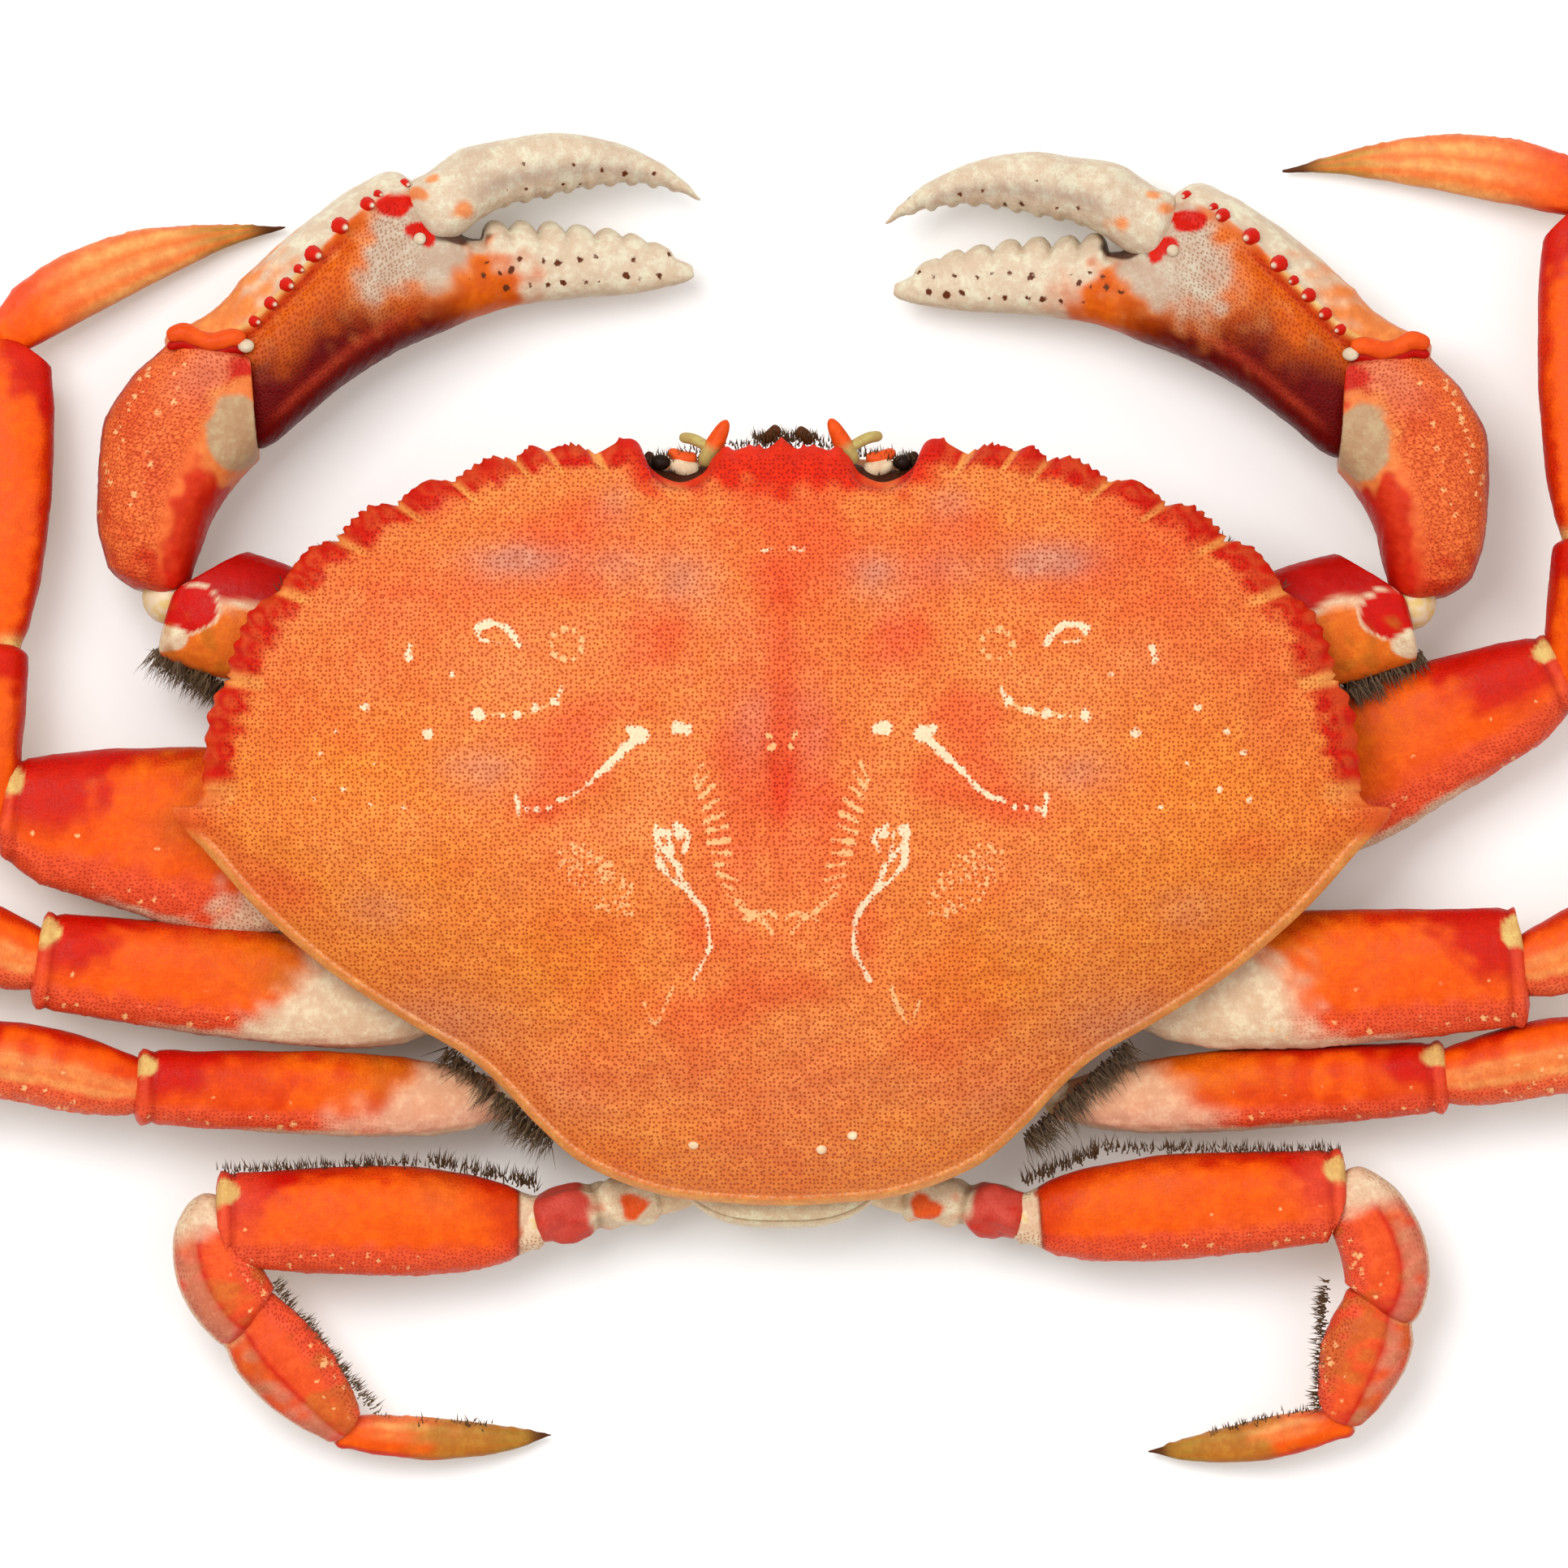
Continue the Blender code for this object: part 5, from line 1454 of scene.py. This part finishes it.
# The palm's rolled lip over the wrist, outward and forward of the joint
WRIST_LIP = [(8.4, 1.8), (6.0, 2.5), (3.9, 1.6), (1.7, 1.1), (-1.0, 1.7), (-3.0, 1.4)]


def tube(name, places, radii, tint, finish):
    """A rounded rod through places. Its tint is a colour, or gives one for shares of the length."""
    stations = np.linspace(0.0, len(places) - 1.0, 8 * len(places))
    line = catmull(places, stations)
    wide = catmull(np.array(radii)[:, None], stations)[:, 0]
    left = np.minimum(stations, stations[::-1]) * 2.0
    wide = wide * np.sqrt(np.clip(1.0 - (1.0 - np.clip(left, 0.02, 1.0)) ** 2, 0.0, 1.0))
    along = unit(np.gradient(line, axis=0))
    aside = unit(np.cross(along, OFF_RODS))
    other = np.cross(along, aside)
    around = (TURN * np.arange(16) / 16)[None, :, None]
    ring = np.cos(around) * aside[:, None] + np.sin(around) * other[:, None]
    points = line[:, None] + ring * wide[:, None, None]
    if callable(tint):
        tint = tint(stations / stations[-1])[:, None]
    return grid_mesh(name, points, {"tint": tint}, finish, first_pole=line[0], last_pole=line[-1])


def make_spines(name, palm, side, wrist, finish):
    """Red spines with white tips along the palm's crest, its rolled lip over the wrist, and a dark rod of
    painted shadow behind and below the lip.
    """
    spines = []
    for t, reach, size in SPINES:
        root = palm.spot(t, reach)
        way = unit(np.array([-side * 0.5, -0.15, 1.0]))
        points = cone_points(root - way * 0.5, root + way * 1.9 * size, 1.1 * size)
        share = np.linspace(0.0, 1.0, len(points))[:, None]
        coat = Coat(SPINE_RED, points)
        coat.over(CLAW_CREAM, ramp(0.7, 0.9, share))
        end = points[-1].mean(0)
        spines.append(grid_mesh("spine", points, {"tint": coat.colour}, finish, last_pole=end))
    lip = [wrist + np.array([side * out, forward, 8.2]) for out, forward in WRIST_LIP]
    spines.append(tube("spine", lip, (1.0, 1.35, 1.2, 1.3, 1.3, 1.0), SPINE_ORANGE, finish))
    # A dark rod of painted shadow behind and below the lip, where it overhangs the carpus
    groove = [p + np.array([0.0, -1.5, -0.9]) for p in lip]
    spines.append(tube("spine", groove, (0.7, 0.9, 0.9, 0.9, 0.9, 0.7), CLAW_DARK_RED_AND_SHADOW, finish))
    button = lip[-1] + np.array([0.0, -0.9, 0.2])
    spines.append(ball_mesh("spine", button, (1.2, 1.0, 1.0), CLAW_CREAM, finish))
    knob = palm.spot(0.43, -11.6) + np.array([0.0, 0.0, 0.2])
    spines.append(ball_mesh("spine", knob, (0.9, 0.9, 0.8), CLAW_CREAM, finish))
    place(join(f"{name}_spines", spines), "red_shell")


def make_claw(name, joints, finish, cracked):
    side = 1 if joints[0][0] > 0 else -1
    root, shoulder, elbow, wrist, tip, hinge, finger_tip = (np.array(p, float) for p in joints)
    base = Limb(root, shoulder, BASE, side, CLAW_BASE_WIDTH, 6.0, rows=40, cols=50)
    merus = Limb(shoulder, elbow, CLAW_MERUS, side, rows=70, cols=90, tuck=1.5, power=2.6)
    carpus = Limb(elbow, wrist, CLAW_CARPUS, side, rows=150, cols=140, power=2.7)
    palm = Limb(wrist, tip, PALM, side, rows=260, cols=180, tuck=8.6, power=2.7, edges=finger_teeth)
    bite = {"power": 2.5, "edges": small_teeth}
    finger = Limb(hinge, finger_tip, FINGER, side, rows=170, cols=110, tuck=4.4, **bite)
    merus.cut(elbow, bend_normal(shoulder, elbow, wrist))
    carpus.cut(elbow, -bend_normal(shoulder, elbow, wrist), -carpus.chord)
    carpus.cut(wrist + np.array([-side * 3.6, 0.0, 0.0]), (-side * 1.0, 0.06, 0.0), (-side * 1.0, 0.0, 0.0))
    carpus.cut(wrist + np.array([0.0, 0.8, 0.0]), (0.0, 1.0, 0.0), (0.0, 1.0, 0.0))
    ridge = palm.reach - np.interp(palm.t, *zip(*CREST))
    crest = 0.7 * bell(ridge, 0.9) - 0.5 * bell(ridge - 2.2, 1.1)
    palm.swell(crest * (palm.v > 0) * ramp(0.45, 0.38, palm.t))
    for part, limb, slot in (
        ("base", base, "cream_shell"),
        ("merus", merus, "red_shell"),
        ("carpus", carpus, "red_shell"),
        ("palm", palm, "red_shell"),
        ("finger", finger, "cream_shell"),
    ):
        limb.swell(0.10 * ripple(limb.points, 7.0, 41) + 0.05 * ripple(limb.points, 1.6, 43))
        limb.round_ends(1.5, 1.0 if part in ("palm", "finger") else 1.5)
        coat = cracked if part == "carpus" else finish
        piece = limb.mesh(f"{name}_{part}_shell", paint_claw(limb, part, side, joints), coat)
        place(piece, slot, f"{name}_{part}")
    make_spines(name, palm, side, wrist, finish)


# Body

# Half outline of the body from front to rear: half width, Y, and how far its underside is rounded up
THORAX = [
    (7.0, 47.0, 9.4),
    (16.0, 42.0, 8.0),
    (20.0, 32.0, 5.2),
    (24.0, 24.0, 3.6),
    (28.0, 17.0, 0.8),
    (33.0, 12.0, 0.0),
    (35.0, 0.0, 0.0),
    (33.0, -13.0, 0.0),
    (29.0, -27.0, 0.0),
    (23.0, -38.0, 1.0),
    (16.5, -46.0, 3.0),
    (11.0, -52.0, 5.0),
]
# From its top to its belly: half width as a share, height, and share of the lift
THORAX_SECTION = [
    (0.0, 19.8, 0.0),
    (0.92, 19.8, 0.0),
    (1.0, 13.0, 0.0),
    (0.97, 7.0, 1.0),
    (0.84, 2.2, 1.0),
    (0.62, 0.1, 0.8),
    (0.0, 0.1, 0.8),
]
# Where the breast plates meet: Y at the middle, and slope outward
SUTURES = [(30.0, 0.55), (21.0, 0.35), (9.0, 0.12), (-5.0, -0.05), (-19.0, -0.25), (-33.0, -0.5)]
# The tail folded round the rear and along the belly: Y, Z and half width of its outer face
APRON = [
    (-55.4, 19.4, 12.0),
    (-58.2, 17.4, 14.4),
    (-59.0, 11.0, 13.6),
    (-57.6, 5.0, 12.6),
    (-54.0, 1.2, 12.0),
    (-49.0, 0.1, 12.4),
    (-36.0, 0.1, 15.0),
    (-24.0, 0.1, 11.0),
    (-10.0, 0.1, 7.6),
    (4.0, 0.1, 5.2),
    (10.0, 0.1, 2.6),
]
# Places along the table above where the tail's plates meet
TAIL_JOINTS = (0.9, 1.8, 2.6, 3.5, 5.1, 6.0, 6.9, 8.1, 9.0)
JAW = [
    (0.00, 0.36, -0.30, 0.80, 0.80),
    (0.12, 0.47, -0.44, 1.00, 1.00),
    (0.54, 0.50, -0.50, 1.10, 1.10),
    (0.58, 0.44, -0.44, 0.80, 0.80),
    (0.62, 0.50, -0.50, 1.10, 1.10),
    (0.86, 0.46, -0.50, 1.00, 1.00),
    (1.00, 0.30, -0.40, 0.70, 0.70),
]


def soften(values, times):
    """Rounds off the corners in rows of numbers."""
    for _ in range(times):
        inner = (values[:-2] + 2.0 * values[1:-1] + values[2:]) / 4.0
        values = np.concatenate([values[:1], inner, values[-1:]])
    return values


def tail_half(y):
    """Half the tail's width on the belly."""
    table = np.array(APRON[4:])
    return np.interp(y, table[:, 0], table[:, 2]) * ramp(11.0, 9.0, y)


def make_thorax(finish):
    """The body under the carapace: breast plates that meet in sutures, and a hollow for the tail."""
    table = np.array(THORAX)
    y = np.linspace(table[0, 1], table[-1, 1], 220)
    half, lift = (soften(np.interp(-y, -table[:, 1], table[:, k]), 60)[:, None] for k in (0, 2))
    section = np.array(THORAX_SECTION)
    section = np.stack([np.interp(np.linspace(0, 6, 90), range(7), column) for column in section.T], -1)
    share, height, raised = soften(section, 12).T
    x = half * np.concatenate([share, -share[-2:0:-1]])
    z = np.concatenate([height, height[-2:0:-1]]) + lift * np.concatenate([raised, raised[-2:0:-1]])
    y = np.broadcast_to(y[:, None], x.shape)
    ax = np.abs(x)
    belly = ramp(9.0, 4.0, z - lift)
    gap = np.full(x.shape, FAR)
    for middle, slope in SUTURES:
        gap = np.minimum(gap, np.abs(y - middle - slope * ax - 0.006 * ax**2 * np.sign(slope)))
    seam = bell(gap, 0.42) * belly * ramp(1.0, 3.0, ax)
    hollow = ramp(0.4, -0.4, ax - tail_half(y)) * belly * (y > -50.0)
    plates = 0.35 * np.clip(gap / 6.0, 0.0, 1.0) ** 0.6
    z = z + belly * (0.45 - plates) + 0.6 * seam + 1.5 * hollow
    points = np.stack([x, y, z], -1)
    fine = ripple(points, 2.6, 51)
    lumps = ripple(points, 12.0, 53)
    coat = Coat(BELLY_CREAM, points)
    coat.over(LEG_CREAM, 0.7 * ramp(-0.2, 0.8, lumps))
    coat.over(CREST_ORANGE, 0.55 * ramp(0.62, 1.0, ax / half + 0.10 * fine) * ramp(-0.4, 0.6, lumps))
    coat.over(SEAM_BROWN, 0.75 * seam + 0.5 * hollow * (1.0 - seam))
    paint = {"tint": coat.colour, "pits": 0.16 * belly, "spread": np.stack([x + z, y], -1)}
    piece = closed_mesh("thorax_plates", points, paint, finish)
    place(piece, "cream_shell", "thorax")


def make_tail(finish):
    """The jointed tail, folded round the rear and along the belly."""
    run = np.linspace(0.0, len(APRON) - 1.0, 300)
    y, z, half = catmull(APRON, run).T
    slope = np.stack([np.gradient(y), np.gradient(z)], -1)
    slope = unit(soften(unit(slope), 8))
    inward = np.stack([-slope[:, 1], slope[:, 0]], -1)
    gap = np.min([np.abs(run - joint) for joint in TAIL_JOINTS], 0)
    seam = bell(gap, 0.055)
    ends = np.clip(ramp(-0.05, 0.6, run) * ramp(10.02, 9.4, run), 0.2, 1.0)
    half = half * (1.0 - 0.025 * seam) * np.sqrt(ends)
    u, v = superellipse(TURN * np.arange(90) / 90, 4.2)
    depth = 1.0 + v[None, :] + (0.35 * seam[:, None] + 0.5 * np.abs(u[None, :]) ** 5) * (v < 0)
    x = half[:, None] * u
    y = y[:, None] + inward[:, 0:1] * depth
    z = z[:, None] + inward[:, 1:2] * depth
    y = y + 4.0 * ramp(-50.0, -57.0, y) * np.abs(u) ** 3
    points = np.stack([x, y, np.maximum(z, 0.05)], -1)
    fine = ripple(points, 2.4, 55)
    lumps = ripple(points, 9.0, 57)
    coat = Coat(BELLY_CREAM, points)
    coat.over(LEG_CREAM, 0.8 * ramp(-0.3, 0.7, lumps))
    sides = 0.25 * ramp(0.9, 1.0, np.abs(u) + 0.05 * fine)
    coat.over(SEAM_BROWN, (0.7 * seam[:, None] + sides) * (v < 0.4))
    paint = {"tint": coat.colour, "pits": 0.16}
    piece = closed_mesh("tail_plates", points, paint, finish)
    place(piece, "cream_shell", "apron")


def make_mouth(finish):
    """The two plates that close over the mouth."""
    for side, half in SIDES:
        rear, front = (side * 5.6, 27.0, 1.5), (side * 5.6, 47.5, 5.7)
        jaw = Limb(rear, front, JAW, side, 9.6, 1.1, rows=120, power=3.6)
        groove = bell(jaw.u + 0.35 * side, 0.10) * ramp(0.1, 0.2, jaw.t) * ramp(0.9, 0.8, jaw.t)
        jaw.swell(-0.25 * groove + 0.06 * ripple(jaw.points, 1.8, 61))
        fine = ripple(jaw.points, 2.6, 63)
        coat = Coat(BELLY_CREAM, jaw.points)
        coat.over(CREST_ORANGE, 0.5 * ramp(0.1, 1.0, fine))
        joint = bell(jaw.t - 0.58, 0.022)
        coat.over(SEAM_BROWN, 0.6 * np.maximum(joint, 0.6 * groove))
        piece = jaw.mesh(f"jaw_foot_{half}_plate", {"tint": coat.colour, "pits": 0.2}, finish)
        place(piece, "cream_shell", f"jaw_foot_{half}")


# The antenna bases between the eyes: root and tip of each stout peg, and of the green stalk behind it
PEGS = [
    ((-11.2, 50.6, 29.5), (-7.8, 57.2, 31.0)),
    ((10.4, 50.8, 29.5), (6.9, 57.4, 31.0)),
]
STALKS = [
    [(-14.6, 54.8, 28.5), (-12.4, 54.4, 29.5), (-9.4, 52.6, 30.0)],
    [(14.4, 55.0, 28.5), (12.2, 54.6, 29.5), (9.0, 52.8, 30.0)],
    [(-2.6, 54.2, 29.5), (-1.2, 55.4, 30.5), (-0.4, 56.2, 31.0)],
    [(4.2, 54.0, 29.5), (3.2, 55.2, 30.5), (2.2, 55.8, 31.0)],
]
# Each eye's stalk, outward and forward of the eye's middle
EYE_STALK = [(-3.0, -1.0), (-1.2, -1.2), (1.2, -0.2)]
# A dark rod of painted shade in the socket behind each eye: its points outward, forward and up from the
# eye's middle
EYE_SHADE_ROD = [(4.4, 1.4, -1.2), (3.4, -1.7, -1.2), (-1.0, -3.2, -1.2), (-4.0, -1.6, -1.2)]


def make_front(finish):
    """The eyes on their stalks with painted shade in their sockets, the antenna bases between them, and the
    beads near the rear.
    """
    for side, half in SIDES:
        middle = np.array([side * EYE_PLACE[0], EYE_PLACE[1], 28.4])
        stalk = [middle + np.array([side * out, forward, 0.0]) for out, forward in EYE_STALK]
        fold = [p + np.array([side * 0.4, 1.6, -0.2]) for p in stalk]
        eye = middle + np.array([side * 2.7, -0.2, -0.2])
        # Painted shade: a dark rod round the back of the eye's socket
        shade_rod = [middle + np.array(p) * (side, 1, 1) for p in EYE_SHADE_ROD]
        parts = [
            tube("eye", stalk, (0.9, 1.3, 1.0), LEG_CREAM, finish),
            tube("eye", fold, (0.8, 1.0, 0.8), LEG_CORAL, finish),
            ball_mesh("eye", eye, (1.5, 1.15, 1.2), EYE_BLACK, finish),
            tube("eye", shade_rod, (0.8, 1.1, 1.1, 0.8), SOCKET_SHADE, finish),
        ]
        place(join(f"eye_{half}_detail", parts), "dark_eye", f"eye_{half}")
    parts = []
    for root, tip in PEGS:
        root, tip = np.array(root), np.array(tip)
        places = [root, mix(root, tip, 0.5), tip]
        parts.append(tube("feeler", places, (1.3, 1.35, 0.75), peg_tint, finish))
    for k, places in enumerate(STALKS):
        tint, size = (STALK_GREEN, 0.75) if k < 2 else (BROWN, 0.8)
        parts.append(tube("feeler", [np.array(p) for p in places], (size, size * 1.1, size), tint, finish))
    place(join("feelers", parts), "orange_shell", "antenna_left", "antenna_right")
    beads = [ball_mesh("bead", bead_place(x, y), (r, r, r * 0.8), MARK_PALE, finish) for x, y, r in BEADS]
    place(join("beads", beads), "cream_shell")


def peg_tint(share):
    """Green at an antenna base's root and orange at its tip."""
    return mix(STALK_GREEN, SPINE_ORANGE, ramp(0.3, 0.55, share)[:, None])


# Hair: the ends of each fringe, the way it points, its depth along Z, its length and how many hairs
FRINGES = [
    ((-90, 24.6, 14), (-80, 19.0, 14), (-0.55, -1.0, 0.1), 6.0, 4.6, 330),
    ((-84, 22.0, 15), (-78, 17.0, 15), (-0.75, -0.8, 0.1), 6.0, 3.8, 200),
    ((81, 19.6, 14), (92, 24.0, 14), (0.45, -1.0, 0.1), 6.0, 4.6, 330),
    ((78, 17.6, 15), (86, 20.0, 15), (0.65, -0.8, 0.1), 6.0, 3.8, 200),
    ((-81, -51.0, 13), (-50, -49.6, 13), (0.0, 1.0, 0.3), 3.0, 1.7, 240),
    ((-50, -49.6, 13), (-35, -53.0, 13), (0.1, 1.0, 0.3), 3.0, 2.4, 160),
    ((81, -48.0, 13), (47, -47.6, 13), (0.0, 1.0, 0.3), 3.0, 1.7, 240),
    ((47, -47.6, 13), (35, -52.4, 13), (-0.1, 1.0, 0.3), 3.0, 2.4, 160),
    ((-73.6, -67.0, 12), (-58.6, -86.0, 9), (1.0, 0.7, 0.1), 3.0, 1.7, 240),
    ((78.6, -66.6, 12), (77.6, -85.0, 9), (-1.0, 0.1, 0.1), 3.0, 1.7, 240),
    ((-60, -87.0, 8), (-42, -88.0, 5), (0.1, 1.0, 0.1), 1.5, 1.2, 120),
    ((77, -85.6, 8), (62, -89.0, 5), (-0.1, 1.0, 0.1), 1.5, 1.2, 120),
    ((-48, -33, 15), (-33, -46, 15), (-0.6, -0.8, -0.1), 6.0, 5.0, 420),
    ((50, -32, 15), (35, -46, 15), (0.6, -0.8, -0.1), 6.0, 5.0, 420),
    ((-4.0, 54.4, 30), (5.4, 54.6, 30), (0.0, 1.0, 0.5), 3.0, 1.6, 260),
    ((-9.0, 53.6, 28), (9.0, 53.6, 28), (0.0, 1.0, 0.3), 3.0, 1.1, 160),
    ((-19, 51.5, 28), (-10, 52.5, 28), (0.0, 1.0, 0.3), 2.0, 1.4, 110),
    ((19, 51.5, 28), (10, 52.5, 28), (0.0, 1.0, 0.3), 2.0, 1.4, 110),
    ((-18.5, 49.6, 28.5), (-11, 49.8, 28.5), (0.0, 0.6, 0.9), 1.0, 1.0, 70),
    ((18.5, 49.6, 28.5), (11, 49.8, 28.5), (0.0, 0.6, 0.9), 1.0, 1.0, 70),
    ((-72, 33, 27), (-62, 41, 27), (-0.6, 0.7, 0.2), 1.5, 1.3, 60),
    ((72, 33, 27), (62, 41, 27), (0.6, 0.7, 0.2), 1.5, 1.3, 60),
    ((0, 30, 2.5), (0, 47, 6), (0.0, 0.3, -0.6), 0.6, 1.3, 160),
    ((-10.6, 33, 3.5), (-10.2, 47, 6.5), (-0.7, 0.5, -0.4), 0.6, 1.6, 90),
    ((10.6, 33, 3.5), (10.2, 47, 6.5), (0.7, 0.5, -0.4), 0.6, 1.6, 90),
]


def make_hair():
    """Short brown hairs, each a thin three-sided spike."""
    rng = np.random.default_rng(17)
    roots, ways, lengths = [], [], []
    for start, end, way, depth, length, count in FRINGES:
        share = rng.uniform(size=(count, 1))
        root = mix(np.array(start, float), np.array(end, float), share)
        root = root + rng.normal(scale=(0.35, 0.35, depth / 3.0), size=(count, 3))
        roots.append(root)
        ways.append(np.array(way) + rng.normal(scale=0.28, size=(count, 3)))
        lengths.append(length * rng.uniform(0.5, 1.15, size=count))
    roots, ways, lengths = np.vstack(roots), np.vstack(ways), np.concatenate(lengths)
    ways = unit(ways)
    aside = unit(np.cross(ways, OFF_HAIRS))
    other = np.cross(ways, aside)
    count = len(roots)
    corners = [roots + 0.13 * (math.cos(a) * aside + math.sin(a) * other) for a in (0.0, 2.094, 4.189)]
    tips = roots + ways * lengths[:, None]
    coords = np.stack([*corners, tips], 1).reshape(-1, 3)
    base = 4 * np.arange(count)[:, None]
    faces = np.vstack([base + np.array(face) for face in ((0, 1, 3), (1, 2, 3), (2, 0, 3), (2, 1, 0))])
    mesh = bpy.data.meshes.new("hair")
    mesh.from_pydata((coords * MM).tolist(), [], faces.tolist())
    mesh.materials.append(plain_material("brown_hair", HAIR_BROWN, roughness=0.6))
    place(linked(bpy.data.objects.new("hair", mesh)), "dark_eye")


# Stage

PHOTO_MIDDLE = (0.35, 5.1)
PHOTO_WIDTH = 225.1
CAMERA_HEIGHT = 2500.0
SENSOR = 36.0
FOCUS_HEIGHT = 25.0
# In metres: the floor's size and how far it lies under the crab, and each light's place, size and power
FLOOR_SIZE, FLOOR_DROP = 6.0, 0.0002
LIGHTS = (
    ("key", (-0.40, 0.40, 1.25), 0.7, 11.5),
    ("fill", (0.8, 0.2, 1.2), 1.2, 5.0),
)


def make_stage():
    bpy.ops.mesh.primitive_plane_add(size=FLOOR_SIZE, location=(0.0, 0.0, -FLOOR_DROP))
    floor = bpy.context.object
    floor.name = "floor"
    pale = plain_material("pale_floor", (0.94, 0.94, 0.94), roughness=0.9, specular=0.1)
    floor.data.materials.append(pale)
    world = bpy.data.worlds.new("studio")
    bpy.context.scene.world = world
    world.use_nodes = True
    sky = world.node_tree.nodes["Background"].inputs
    sky["Color"].default_value = (1.0, 1.0, 1.0, 1.0)
    sky["Strength"].default_value = 0.70
    for name, spot, size, power in LIGHTS:
        light = bpy.data.lights.new(name, "AREA")
        light.size = size
        light.energy = power
        lamp = linked(bpy.data.objects.new(name, light))
        lamp.location = spot
        lamp.rotation_euler = (-lamp.location).to_track_quat("-Z", "Y").to_euler()


def make_camera():
    data = bpy.data.cameras.new("camera")
    data.sensor_width = SENSOR
    data.lens = SENSOR * (CAMERA_HEIGHT - FOCUS_HEIGHT) / PHOTO_WIDTH
    data.clip_end = 20.0
    camera = linked(bpy.data.objects.new("camera", data))
    camera.location = (PHOTO_MIDDLE[0] * MM, PHOTO_MIDDLE[1] * MM, CAMERA_HEIGHT * MM)
    bpy.context.scene.camera = camera


def main():
    bpy.context.scene.view_settings.view_transform = "Standard"
    carapace_finish = shell_material("carapace_shell", 0.64)
    limb_finish = shell_material("limb_shell", 0.60)
    cracked_finish = shell_material("cracked_shell", 0.60, cracked=True)
    skin = mottled_material("joint_skin", LEG_YELLOW, LEG_CREAM, 2.0)
    make_stage()
    make_camera()
    make_carapace(carapace_finish)
    for name, facts in LEGS.items():
        make_leg(name, facts, limb_finish)
    for name, joints in CLAWS.items():
        make_claw(name, joints, limb_finish, cracked_finish)
    make_front(limb_finish)
    make_joint_skin(skin)
    make_shoulders(limb_finish)
    make_hair()
    make_thorax(limb_finish)
    make_tail(limb_finish)
    make_mouth(limb_finish)
    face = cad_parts["face"].data.materials
    face.clear()
    face.append(mottled_material("face_shell", CREST_ORANGE, SEAM_BROWN, 3.0))


main()
